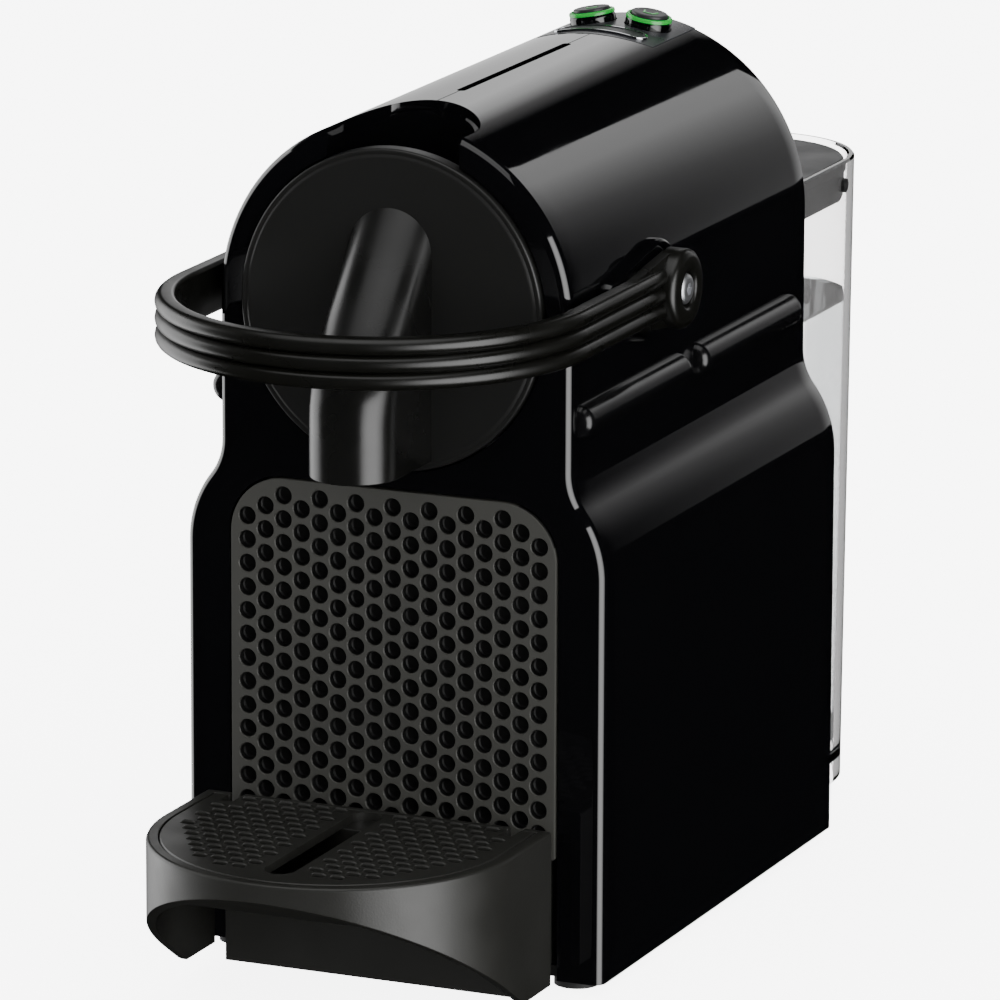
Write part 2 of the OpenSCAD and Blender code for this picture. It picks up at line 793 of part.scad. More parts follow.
module dock_seal() {
    color("#a03a2a") placed() translate([0, valve_y, floor_z - 0.5]) difference() {
        cylinder(r = spigot_r, h = 2.6);
        translate([0, 0, -1]) cylinder(r = spigot_r - 1.6, h = 6);
    }
}

// ---------- tank ----------

// Plan of the tank: straight at the front, with two round rear corners.
module tank_plan(inset) {
    hw = tank_w / 2 - inset;
    back = tank_back - inset;
    r = tank_corner - inset;
    front = tank_front - 20;
    translate([-hw, front]) square([2 * hw, back - r - front]);
    translate([r - hw, front]) square([2 * (hw - r), back - front]);
    for (s = [-1, 1]) translate([s * (hw - r), back - r]) circle(r = r);
}

// The tank's outside or inside as a leaning solid between two heights, cut off upright in front.
module tank_solid(inset, low, high) {
    intersection() {
        translate([0, tank_back, tank_top]) rotate([-tank_lean, 0, 0]) translate([0, -tank_back, -tank_top - 10])
            linear_extrude(tank_top + 20) tank_plan(inset);
        block([-100, 100], [tank_front + inset, 400], [low, high]);
    }
}

module water_tank() {
    color([0.8, 0.85, 0.88, 0.4]) placed() difference() {
        union() {
            difference() {
                tank_solid(0, tank_low, tank_top);
                tank_solid(tank_wall, floor_z + floor_t, tank_top + 5);
                tank_solid(tank_wall, tank_low - 1, floor_z);
                block([-36.5, 36.5], [tank_front - 1, tank_front + 5], [0, floor_z]);
            }
            translate([0, valve_y, floor_z]) cylinder(r = neck_r + 2, h = neck_h);
            valve_cage();
        }
        translate([0, valve_y, floor_z - 1]) cylinder(r = neck_r, h = neck_h + 2);
        both_sides() rod_x(lid_pin_y, lid_pin_z, lid_pin_r + run, 30, 40);
    }
}

// Three posts and a ring over the valve that hold its spring.
module valve_cage() {
    top = floor_z + 22;
    for (a = [0, 120, 240]) translate([0, valve_y, floor_z + floor_t]) rotate(a) translate([10.5, 0, 0])
        cylinder(r = 1.4, h = top - floor_z - floor_t);
    translate([0, valve_y, top - 2]) difference() {
        cylinder(r = 12, h = 2);
        translate([0, 0, -1]) cylinder(r = 3, h = 4);
    }
}

module tank_lid() {
    color("#55575a") placed() {
        tank_solid(tank_wall + 1, lid_top - lid_t, lid_top);
        both_sides() {
            block([lid_half_w - 2.6, lid_half_w], [lid_pin_y - 15, lid_pin_y + 4], [lid_pin_z - 4.5, lid_top - lid_t]);
            rod_x(lid_pin_y, lid_pin_z, lid_pin_r, lid_half_w, tank_wall + 0.8);
        }
    }
}

module tank_valve() {
    color("#d9d9d9") placed() translate([0, valve_y, 0]) {
        translate([0, 0, floor_z + neck_h]) cylinder(r = neck_r + 1.4, h = 1.8);
        translate([0, 0, floor_z + 2.8]) cylinder(r = 2, h = neck_h - 2.8);
        translate([0, 0, floor_z + neck_h + 1.8]) cylinder(r = 2, h = 9);
    }
}

module valve_spring() {
    color("silver") placed() translate([0, valve_y, floor_z + neck_h + 1.8]) coil(4.6, 0.4, 12.2, 6);
}

// ---------- capsule and drip unit ----------

module capsule_container() {
    color("#262624") placed() difference() {
        union() {
            block([-bin_half_w, bin_half_w], [panel_y + panel_t, bin_depth], [bin_low, bin_top - 14]);
            along_y(panel_y + panel_t, bin_depth - panel_y - panel_t) container_crown();
        }
        block([-bin_half_w + bin_wall, bin_half_w - bin_wall],
              [panel_y + panel_t + bin_wall, bin_depth - bin_wall], [bin_low + bin_wall, bin_top + 20]);
    }
}

// The container's upper front view, with the same round corners as the honeycomb front.
module container_crown() {
    r = panel_corner - 2.2;
    translate([-bin_half_w, bin_low]) square([2 * bin_half_w, bin_top - r - bin_low]);
    translate([r - bin_half_w, bin_low]) square([2 * (bin_half_w - r), bin_top - bin_low]);
    for (s = [-1, 1]) translate([s * (bin_half_w - r), bin_top - r]) circle(r = r);
}

// A dimple belongs to the pattern when it keeps clear of the panel's edge and round corners.
function in_panel(x, z) =
    let (dx = abs(x) - (panel_half_w - panel_corner), dz = z - (panel_top - panel_corner))
    (dx <= 0 || dz <= 0 || norm([dx, dz]) < panel_corner - cell_d / 2 - 1)
    && z < panel_top - cell_d / 2 - 1.5 && z > panel_low + cell_d / 2 + 1.5;

module honeycomb_front() {
    columns = floor((panel_half_w - cell_d / 2 - 1) / cell_x);
    rows = floor((panel_top - panel_low) / cell_z);
    color("#3f3f3c") placed() difference() {
        along_y(panel_y, panel_t) panel_outline(0);
        for (i = [-columns : columns], k = [0 : rows]) {
            z = panel_top - 4.5 - k * cell_z - (i % 2 == 0 ? 0 : cell_z / 2);
            if (in_panel(i * cell_x, z)) rod_y(i * cell_x, z, cell_d / 2, panel_y - 1, panel_t - 0.3);
        }
    }
}

module drip_base() {
    sump_half = bin_half_w;
    front_y = panel_y + panel_t;
    color("#2b2b29") placed() difference() {
        union() {
            block([-plinth_half_w, plinth_half_w], [-plinth_reach, front_y], [plinth_low, plinth_top]);
            block([-sump_half, sump_half], [front_y, bin_depth], [sump_low, bin_low]);
            both_sides() {
                block([plinth_half_w - ear_t, plinth_half_w], [hinge_y - ear_r, hinge_y + ear_r],
                      [plinth_top, hinge_z]);
                rod_x(hinge_y, hinge_z, ear_r, plinth_half_w - ear_t, ear_t);
                rod_x(hinge_y, hinge_z, hinge_pin_r, plinth_half_w, tray_r - plinth_half_w - 1.8);
            }
        }
        block([-plinth_half_w + 2.5, plinth_half_w - 2.5], [-plinth_reach + 2.5, front_y + 1], [-1, plinth_top - 2.5]);
        block([-sump_half + 2, sump_half - 2], [front_y + 2.5, bin_depth - 2], [sump_low + 2, bin_low + 1]);
        block([-sump_half + 2, sump_half - 2], [front_y, front_y + 5], [plinth_top, bin_low + 1]);
    }
}

// Plan of the drip tray: a round front and straight sides to the rear edge.
module tray_plan(inset, rear) {
    r = tray_r - inset;
    intersection() {
        translate([0, tray_cy]) circle(r = r);
        translate([-r, tray_cy - r]) square([2 * r, r + rear - tray_cy]);
    }
    translate([-r, tray_cy]) square([2 * r, rear - tray_cy]);
}

// Side view of the tray's bowl, whose floor rises to the front as the skirt does.
module bowl_side(inset) {
    back = hinge_y - ear_r - 2.6 - inset;
    low = bowl_low + inset;
    top = tray_top - deck_t;
    rise = (top - bowl_low) / skirt_slope;
    polygon([[back, low], [rise - tray_reach + 6 + inset * 1.6, low], [6 + inset * 1.6 - tray_reach, top],
             [6 + inset * 1.6 - tray_reach, top + 1 + 9 * inset], [back, top + 1 + 9 * inset]]);
}

module drip_tray() {
    run_y = (tray_top - skirt_lip - skirt_low) / skirt_slope;
    color("#1b1b1a") placed() difference() {
        union() {
            difference() {
                translate([0, 0, skirt_low]) linear_extrude(tray_top - skirt_low) tray_plan(0, tray_rear);
                translate([0, 0, -1]) linear_extrude(tray_top - deck_t + 1) tray_plan(skirt_wall, 1);
                along_x(-100, 200) polygon([[-tray_reach - 1, -1], [-tray_reach - 1, tray_top - skirt_lip + skirt_slope],
                    [run_y - tray_reach, skirt_low], [run_y - tray_reach, -1]]);
            }
            intersection() {
                along_x(-100, 200) bowl_side(0);
                linear_extrude(100) tray_plan(5, 0);
            }
            both_sides() rod_x(hinge_y, hinge_z, boss_r, plinth_half_w + 1, tray_r - plinth_half_w - 2);
        }
        intersection() {
            along_x(-100, 200) bowl_side(1.6);
            linear_extrude(100) tray_plan(6.6, 0);
        }
        translate([0, 0, tray_top - grid_t]) linear_extrude(40) tray_plan(grid_inset, grid_rear);
        both_sides() {
            rod_x(hinge_y, hinge_z, hinge_pin_r + run, 30, tray_r - 30 - 1.5);
            rod_x(hinge_y, hinge_z, ear_r + 0.4, plinth_half_w - ear_t - 0.4, ear_t + 0.8);
            block([plinth_half_w - ear_t - 0.4, plinth_half_w + 0.4], [hinge_y - ear_r - 0.4, hinge_y],
                  [0, hinge_z]);
            block([plinth_half_w - ear_t - 0.4, plinth_half_w + 0.4], [hinge_y, tray_rear + 1], [0, 60]);
        }
    }
}

module drip_grid() {
    rear = grid_rear - 0.3;
    color("#2b2b29") placed() difference() {
        translate([0, 0, tray_top - grid_t]) linear_extrude(grid_t) tray_plan(grid_inset + 0.3, rear);
        hull() for (y = [grid_slot_r + 10.5 - tray_reach, rear - grid_slot_r - 0.6])
            translate([0, y, 30]) cylinder(r = grid_slot_r, h = 30, $fn = 32);
        for (row = [0 : 12], i = [0 : 6]) {
            x = 10 + i * 5.4 + (row % 2) * 2.7;
            y = rear - 2.6 - row * 4.8;
            by_ear = x + 2 > plinth_half_w - ear_t - 2 && y > hinge_y - ear_r - 2;
            if (norm([x, min(0, y - tray_cy)]) < tray_r - 9 && !by_ear) for (s = [-1, 1])
                translate([s * x, y, 40]) block([-1.9, 1.9], [-0.7, 0.7], [0, 20]);
        }
        both_sides() block([plinth_half_w - ear_t - 0.4, plinth_half_w + 0.4],
            [hinge_y - ear_r - 0.4, rear + 1], [0, 60]);
    }
}

base_plate();
rubber_feet();
left_side_cover();
right_side_cover();
brewing_head_disc();
coffee_outlet_hood();
outlet_nozzle();
capsule_chute();
lever_stops();
control_panel();
name_badge();
espresso_button();
espresso_light_ring();
espresso_spring();
lungo_button();
lungo_light_ring();
lungo_spring();
chassis();
brewing_frame();
extraction_plate();
guide_rods();
lever_bushes();
capsule_cage();
lever_bail();
lever_shafts();
lever_cranks();
lever_screws();
pump();
pump_mounts();
heater();
flow_meter();
circuit_board();
suction_hose();
feed_hose();
pressure_hose();
brewing_hose();
rear_panel();
panel_screws();
cable_gland();
tank_dock();
dock_seal();
water_tank();
tank_lid();
tank_valve();
valve_spring();
capsule_container();
honeycomb_front();
drip_base();
drip_tray();
drip_grid();
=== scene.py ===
"""Looks for the pod coffee machine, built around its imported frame.

Sizes are in millimetres in the maker's frame: X across, Y back from the front edge of the covers,
Z up from the worktop. spot() turns them into metres in the frame's own axes.
"""

import json
import logging
import math
from collections.abc import Callable
from dataclasses import dataclass, field
from enum import Enum

import bmesh
import bpy
from mathutils import Matrix, Vector
from mathutils.interpolate import poly_3d_calc


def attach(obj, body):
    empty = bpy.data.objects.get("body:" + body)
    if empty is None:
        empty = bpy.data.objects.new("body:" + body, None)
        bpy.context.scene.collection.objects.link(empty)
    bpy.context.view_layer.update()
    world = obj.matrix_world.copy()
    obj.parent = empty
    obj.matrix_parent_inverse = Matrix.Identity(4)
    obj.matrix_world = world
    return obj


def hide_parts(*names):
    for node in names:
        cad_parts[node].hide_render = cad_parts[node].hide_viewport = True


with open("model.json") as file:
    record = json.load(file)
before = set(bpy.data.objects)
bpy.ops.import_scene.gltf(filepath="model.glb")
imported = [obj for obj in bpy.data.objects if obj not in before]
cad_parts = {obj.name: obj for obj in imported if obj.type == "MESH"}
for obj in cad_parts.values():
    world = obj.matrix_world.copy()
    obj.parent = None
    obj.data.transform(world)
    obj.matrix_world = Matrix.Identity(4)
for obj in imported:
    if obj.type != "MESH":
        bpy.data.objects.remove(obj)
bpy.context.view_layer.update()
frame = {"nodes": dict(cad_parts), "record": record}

LOG = logging.getLogger("coffee_machine")
MM = 0.001
MIDDLE_Y = 75.75
Loop = list[Vector]
Plan = list[tuple[float, float]]


def spot(x: float, y: float, z: float) -> Vector:
    """Turns a place in the maker's frame into metres in the frame's axes.

    Args:
        x: Place across, in mm.
        y: Place back from the front edge of the covers, in mm.
        z: Height above the worktop, in mm.

    Returns:
        The same place in metres.
    """
    return Vector((x * MM, (y - MIDDLE_Y) * MM, z * MM))


def arc(cx: float, cy: float, r: float, start: float, end: float, steps: int) -> Plan:
    """Gives points along an arc, both ends among them.

    Args:
        cx: Centre on the first axis.
        cy: Centre on the second axis.
        r: Radius.
        start: First angle in degrees.
        end: Last angle in degrees.
        steps: How many chords the arc has.

    Returns:
        The points in order.
    """
    turn = [math.radians(start + (end - start) * i / steps) for i in range(steps + 1)]
    return [(cx + r * math.cos(a), cy + r * math.sin(a)) for a in turn]


def arch(half: float, low: float, top: float, r: float) -> Plan:
    """Gives an upright plate's outline with two round upper corners.

    Args:
        half: Half its width.
        low: Height of its lower edge.
        top: Height of its upper edge.
        r: Radius of the corners.

    Returns:
        The outline in order, from the lower right corner.
    """
    right = arc(half - r, top - r, r, 0, 90, 16)
    left = arc(r - half, top - r, r, 90, 180, 16)
    return [(half, low)] + right + left + [(-half, low)]


def long_slot(front: float, back: float, r: float, steps: int) -> Plan:
    """Gives the outline of a slot along the middle, with round ends.

    Args:
        front: Centre of its front end.
        back: Centre of its back end.
        r: Half its width.
        steps: Chords in each round end.

    Returns:
        The outline in order.
    """
    return arc(0, back, r, 0, 180, steps) + arc(0, front, r, 180, 360, steps)


class Bench:
    """The modelling moves that every sub-assembly shares."""

    @staticmethod
    def clear() -> None:
        """Leaves edit mode and deselects everything."""
        if bpy.context.mode != "OBJECT":
            bpy.ops.object.mode_set(mode="OBJECT")
        bpy.ops.object.select_all(action="DESELECT")

    @classmethod
    def choose(cls, piece: bpy.types.Object) -> None:
        """Makes a piece the only selected one and the active one."""
        cls.clear()
        piece.select_set(True)
        bpy.context.view_layer.objects.active = piece

    @classmethod
    def loft(cls, name: str, loops: list[Loop], ring: bool = False) -> bpy.types.Object:
        """Extrudes an outline through a row of loops that have the same number of points.

        Args:
            name: Name of the new piece.
            loops: Loops of points in metres, in order along the piece.
            ring: Whether the last loop joins the first, with no caps.

        Returns:
            The closed piece, with its faces outwards.
        """
        cls.clear()
        bpy.ops.mesh.primitive_circle_add(
            vertices=len(loops[0]), fill_type="NOTHING" if ring else "NGON"
        )
        piece = bpy.context.object
        piece.name = piece.data.name = name
        bpy.ops.object.mode_set(mode="EDIT")
        shape = bmesh.from_edit_mesh(piece.data)
        place = shape.verts.layers.int.new("place")
        for i, v in enumerate(shape.verts):
            v[place] = i
            v.co = loops[0][i]
        bmesh.update_edit_mesh(piece.data)
        bpy.ops.mesh.select_all(action="SELECT")
        for loop in loops[1:] + ([loops[0]] if ring else []):
            bpy.ops.mesh.extrude_region_move()
            shape = bmesh.from_edit_mesh(piece.data)
            place = shape.verts.layers.int["place"]
            for v in shape.verts:
                if v.select:
                    v.co = loop[v[place]]
            bmesh.update_edit_mesh(piece.data)
        bpy.ops.mesh.select_all(action="SELECT")
        bpy.ops.mesh.remove_doubles(threshold=1e-6)
        bpy.ops.mesh.normals_make_consistent(inside=False)
        bpy.ops.object.mode_set(mode="OBJECT")
        piece.data.attributes.remove(piece.data.attributes["place"])
        return piece

    @classmethod
    def turned(
        cls,
        name: str,
        profile: Plan,
        centre: Vector,
        axis: Vector,
        sides: int = 64,
        ring: bool = False,
    ) -> bpy.types.Object:
        """Makes a turned piece from a stack of circles.

        Args:
            name: Name of the new piece.
            profile: Pairs of radius and height along the axis, in mm.
            centre: Where the axis starts, in metres.
            axis: Unit direction of the axis.
            sides: Number of points on each circle.
            ring: Whether the profile runs round a hole and closes on itself.

        Returns:
            The closed piece.
        """
        turn = axis.to_track_quat("Z", "Y").to_matrix()
        loops = []
        for r, h in profile:
            circle = arc(0, 0, r * MM, 0, 360 - 360 / sides, sides - 1)
            loops.append([centre + turn @ Vector((x, y, h * MM)) for x, y in circle])
        return cls.loft(name, loops, ring)

    @classmethod
    def prism(
        cls, name: str, plan: Plan, low: float, high: float, along: str = "z"
    ) -> bpy.types.Object:
        """Extrudes a flat outline between two places along an axis.

        Args:
            name: Name of the new piece.
            plan: Outline in mm, on X and Y, X and Z or Y and Z.
            low: First place along the axis, in mm.
            high: Last place along the axis, in mm.
            along: The axis, x, y or z.

        Returns:
            The closed piece.
        """

        def lift(h: float) -> Loop:
            """Places the outline at one height."""
            if along == "x":
                return [spot(h, a, b) for a, b in plan]
            if along == "y":
                return [spot(a, h, b) for a, b in plan]
            return [spot(a, b, h) for a, b in plan]

        return cls.loft(name, [lift(low), lift(high)])

    @classmethod
    def slab(cls, name: str, plan: Plan, side: int, near: float, far: float) -> bpy.types.Object:
        """Extrudes an outline on Y and Z across one side of the machine.

        Args:
            name: Name of the new piece.
            plan: Outline in mm.
            side: 1 on the right, -1 on the left.
            near: How far from the middle it starts, in mm.
            far: How far from the middle it ends, in mm.

        Returns:
            The closed piece.
        """
        low, high = sorted((side * near, side * far))
        return cls.prism(name, plan, low, high, "x")

    @classmethod
    def apply(cls, piece: bpy.types.Object, kind: str, **settings: object) -> None:
        """Adds one modifier with its settings and applies it.

        Args:
            piece: The piece to change.
            kind: The modifier's type.
            **settings: Values of the modifier's own properties.
        """
        cls.choose(piece)
        modifier = piece.modifiers.new(kind.title(), kind)
        for key, value in settings.items():
            setattr(modifier, key, value)
        bpy.ops.object.modifier_apply(modifier=modifier.name)

    @classmethod
    def combine(
        cls, piece: bpy.types.Object, tool: bpy.types.Object, how: str = "DIFFERENCE"
    ) -> None:
        """Cuts, adds or keeps a second piece's space, and removes that piece.

        Args:
            piece: The piece that stays.
            tool: The piece that is used up.
            how: DIFFERENCE, UNION or INTERSECT.
        """
        cls.apply(piece, "BOOLEAN", object=tool, operation=how, solver="EXACT")
        bpy.data.objects.remove(tool)

    @classmethod
    def join(cls, name: str, pieces: list[bpy.types.Object]) -> bpy.types.Object:
        """Joins pieces into one mesh.

        Args:
            name: Name of the joined piece.
            pieces: The pieces, at least one.

        Returns:
            The joined piece.
        """
        cls.clear()
        for piece in pieces:
            piece.select_set(True)
        bpy.context.view_layer.objects.active = pieces[0]
        bpy.ops.object.join()
        pieces[0].name = pieces[0].data.name = name
        return pieces[0]

    @classmethod
    def copied(
        cls, piece: bpy.types.Object, name: str, move: Vector | None = None
    ) -> bpy.types.Object:
        """Copies a piece with a mesh of its own, and moves the copy's mesh."""
        twin = piece.copy()
        twin.data = piece.data.copy()
        twin.name = twin.data.name = name
        bpy.context.scene.collection.objects.link(twin)
        twin.data.transform(Matrix.Translation(move or Vector()))
        return twin

    @classmethod
    def mirrored(cls, piece: bpy.types.Object, name: str) -> bpy.types.Object:
        """Copies a piece to the other side of the machine, faces outwards again."""
        twin = cls.copied(piece, name)
        twin.data.transform(Matrix.Diagonal((-1.0, 1.0, 1.0, 1.0)))
        twin.data.flip_normals()
        return twin

    @classmethod
    def half(cls, piece: bpy.types.Object, x: float) -> None:
        """Keeps only the part of a piece beyond a place across, and closes the cut.

        Args:
            piece: The piece to cut.
            x: Place of the cut, in mm. What is nearer the left goes.
        """
        cls.choose(piece)
        bpy.ops.object.mode_set(mode="EDIT")
        bpy.ops.mesh.select_all(action="SELECT")
        bpy.ops.mesh.bisect(
            plane_co=spot(x, 0, 0), plane_no=(1, 0, 0), use_fill=True, clear_inner=True
        )
        bpy.ops.object.mode_set(mode="OBJECT")

    @classmethod
    def soften(
        cls, piece: bpy.types.Object, width: float, sharp: float = 40, steps: int = 2
    ) -> bpy.types.Object:
        """Rounds a piece's sharp edges and shades it smooth between what stays sharp.

        Args:
            piece: The piece to finish.
            width: Width of the rounding in mm.
            sharp: Edges that turn more than this many degrees are rounded.
            steps: Segments of the rounding.

        Returns:
            The same piece.
        """
        cls.apply(
            piece,
            "BEVEL",
            width=width * MM,
            segments=steps,
            limit_method="ANGLE",
            angle_limit=math.radians(sharp),
            use_clamp_overlap=True,
            harden_normals=False,
        )
        return cls.shade(piece)

    @classmethod
    def shade(cls, piece: bpy.types.Object, sharp: float = 50) -> bpy.types.Object:
        """Shades a piece smooth and weighs its normals by the size of its faces.

        Args:
            piece: The piece to shade.
            sharp: Edges that turn more than this many degrees stay sharp.

        Returns:
            The same piece.
        """
        cls.choose(piece)
        bpy.ops.object.shade_smooth_by_angle(angle=math.radians(sharp))
        cls.apply(piece, "WEIGHTED_NORMAL", keep_sharp=True, weight=80)
        return piece

    @classmethod
    def borrow_normals(
        cls, piece: bpy.types.Object, form: bpy.types.Object, reach: float
    ) -> None:
        """Takes a plain form's normals wherever a cut piece lies on that form.

        Args:
            piece: The cut piece.
            form: The uncut form.
            reach: How far from the form's surface a face's middle may lie, in mm.
        """
        same_way = 0.98
        corners = [n.vector.copy() for n in piece.data.corner_normals]
        plain = form.data
        for face in piece.data.polygons:
            hit, place, normal, _ = form.closest_point_on_mesh(face.center)
            if not hit or (face.center - place).length > reach * MM:
                continue
            if normal.dot(face.normal) < same_way:
                continue
            for i in face.loop_indices:
                corner = piece.data.vertices[piece.data.loops[i].vertex_index].co
                _, place, _, index = form.closest_point_on_mesh(corner)
                source = plain.polygons[index]
                points = [plain.vertices[v].co for v in source.vertices]
                blend = Vector()
                for k, share in zip(source.loop_indices, poly_3d_calc(points, place)):
                    blend += plain.corner_normals[k].vector * share
                corners[i] = blend.normalized()
        piece.data.normals_split_custom_set(corners)


# ---------- finishes ----------


class Surface(Enum):
    """How a surface was made, which decides its fine relief."""

    MOULDED = "spark-eroded mould texture"
    POLISHED = "mirror-polished mould"
    BRUSHED = "brushed or turned lines"
    CAST = "sand or die cast skin"
    CLEAR = "clear moulding"
    LIT = "lit light guide"
    WATER = "still water"


def linear(colour: str) -> tuple[float, float, float, float]:
    """Turns an sRGB hex colour into a linear one.

    Args:
        colour: Six hex digits after a hash.

    Returns:
        Red, green, blue and alpha.
    """
    parts = [int(colour[i : i + 2], 16) / 255 for i in (1, 3, 5)]
    flat = [c / 12.92 if c <= 0.04045 else ((c + 0.055) / 1.055) ** 2.4 for c in parts]
    return (flat[0], flat[1], flat[2], 1.0)


def add_node(
    tree: bpy.types.NodeTree,
    kind: str,
    inputs: dict[str, object] | None = None,
    **settings: object,
) -> bpy.types.Node:
    """Adds a node, sets its properties and fills or links its inputs.

    Args:
        tree: The node tree.
        kind: The node's type name.
        inputs: Input names with a value or with a socket to link.
        **settings: The node's own properties.

    Returns:
        The new node.
    """
    node = tree.nodes.new(kind)
    for key, value in settings.items():
        setattr(node, key, value)
    for key, value in (inputs or {}).items():
        if isinstance(value, bpy.types.NodeSocket):
            tree.links.new(value, node.inputs[key])
        else:
            node.inputs[key].default_value = value
    return node


@dataclass(frozen=True)
class Finish:
    """A real material with the way its surface was made.

    grain is the size of its relief in mm and relief the depth, mottle how far its roughness
    wanders, and tint the darkest or palest shade its colour drifts to.
    """

    name: str
    colour: str
    tint: str
    rough: float
    surface: Surface = Surface.MOULDED
    grain: float = 0.5
    relief: float = 0.02
    mottle: float = 0.06
    metal: float = 0.0
    ior: float = 1.5
    coat: float = 0.0
    glow: float = 0.0
    cloud: float = 18.0

    def build(self) -> bpy.types.Material:
        """Builds the node material.

        Returns:
            The material.
        """
        material = bpy.data.materials.new(self.name)
        material.use_nodes = True
        tree = material.node_tree
        tree.nodes.clear()
        where = add_node(tree, "ShaderNodeTexCoord").outputs["Object"]
        shader = add_node(
            tree,
            "ShaderNodeBsdfPrincipled",
            {"Metallic": self.metal, "IOR": self.ior, "Coat Weight": self.coat},
        )
        shader.inputs["Coat Roughness"].default_value = 0.04
        # slow drift of shade and gloss, as handling and moulding leave it
        drift = add_node(
            tree,
            "ShaderNodeTexNoise",
            {"Vector": where, "Scale": 1 / (self.cloud * MM), "Detail": 3.0},
        )
        shade = add_node(
            tree,
            "ShaderNodeMix",
            {"Factor": drift.outputs["Fac"], "A": linear(self.colour), "B": linear(self.tint)},
            data_type="RGBA",
        )
        gloss = add_node(
            tree,
            "ShaderNodeMapRange",
            {
                "Value": drift.outputs["Fac"],
                "From Min": 0.3,
                "From Max": 0.7,
                "To Min": max(0.0, self.rough - self.mottle),
                "To Max": self.rough + self.mottle,
            },
        )
        tree.links.new(self.colour_socket(shade), shader.inputs["Base Color"])
        tree.links.new(gloss.outputs["Result"], shader.inputs["Roughness"])
        self.add_relief(tree, where, shader)
        if self.surface in (Surface.CLEAR, Surface.WATER):
            shader.inputs["Transmission Weight"].default_value = 1.0
        if self.glow:
            shader.inputs["Emission Color"].default_value = linear(self.colour)
            shader.inputs["Emission Strength"].default_value = self.glow
        add_node(tree, "ShaderNodeOutputMaterial", {"Surface": shader.outputs["BSDF"]})
        return material

    @staticmethod
    def colour_socket(node: bpy.types.Node) -> bpy.types.NodeSocket:
        """Gives a mix node's colour output."""
        return next(o for o in node.outputs if o.type == "RGBA")

    def add_relief(
        self, tree: bpy.types.NodeTree, where: bpy.types.NodeSocket, shader: bpy.types.Node
    ) -> None:
        """Adds the fine relief that suits the way the surface was made.

        Args:
            tree: The material's node tree.
            where: The coordinates that place the pattern.
            shader: The node whose normal it drives.
        """
        stretch = (1.0, 1.0, 1.0)
        if self.surface is Surface.BRUSHED:
            stretch = (0.06, 1.0, 1.0)
        placed = add_node(
            tree, "ShaderNodeMapping", {"Vector": where, "Scale": stretch}
        )
        scale = 1 / (self.grain * MM)
        if self.surface in (Surface.MOULDED, Surface.CAST):
            grain = add_node(
                tree,
                "ShaderNodeTexVoronoi",
                {"Vector": placed.outputs["Vector"], "Scale": scale, "Randomness": 1.0},
                feature="SMOOTH_F1",
            ).outputs["Distance"]
        else:
            grain = add_node(
                tree,
                "ShaderNodeTexNoise",
                {"Vector": placed.outputs["Vector"], "Scale": scale, "Detail": 2.0},
            ).outputs["Fac"]
        bump = add_node(
            tree,
            "ShaderNodeBump",
            {"Height": grain, "Strength": 1.0, "Distance": self.relief * MM},
        )
        tree.links.new(bump.outputs["Normal"], shader.inputs["Normal"])


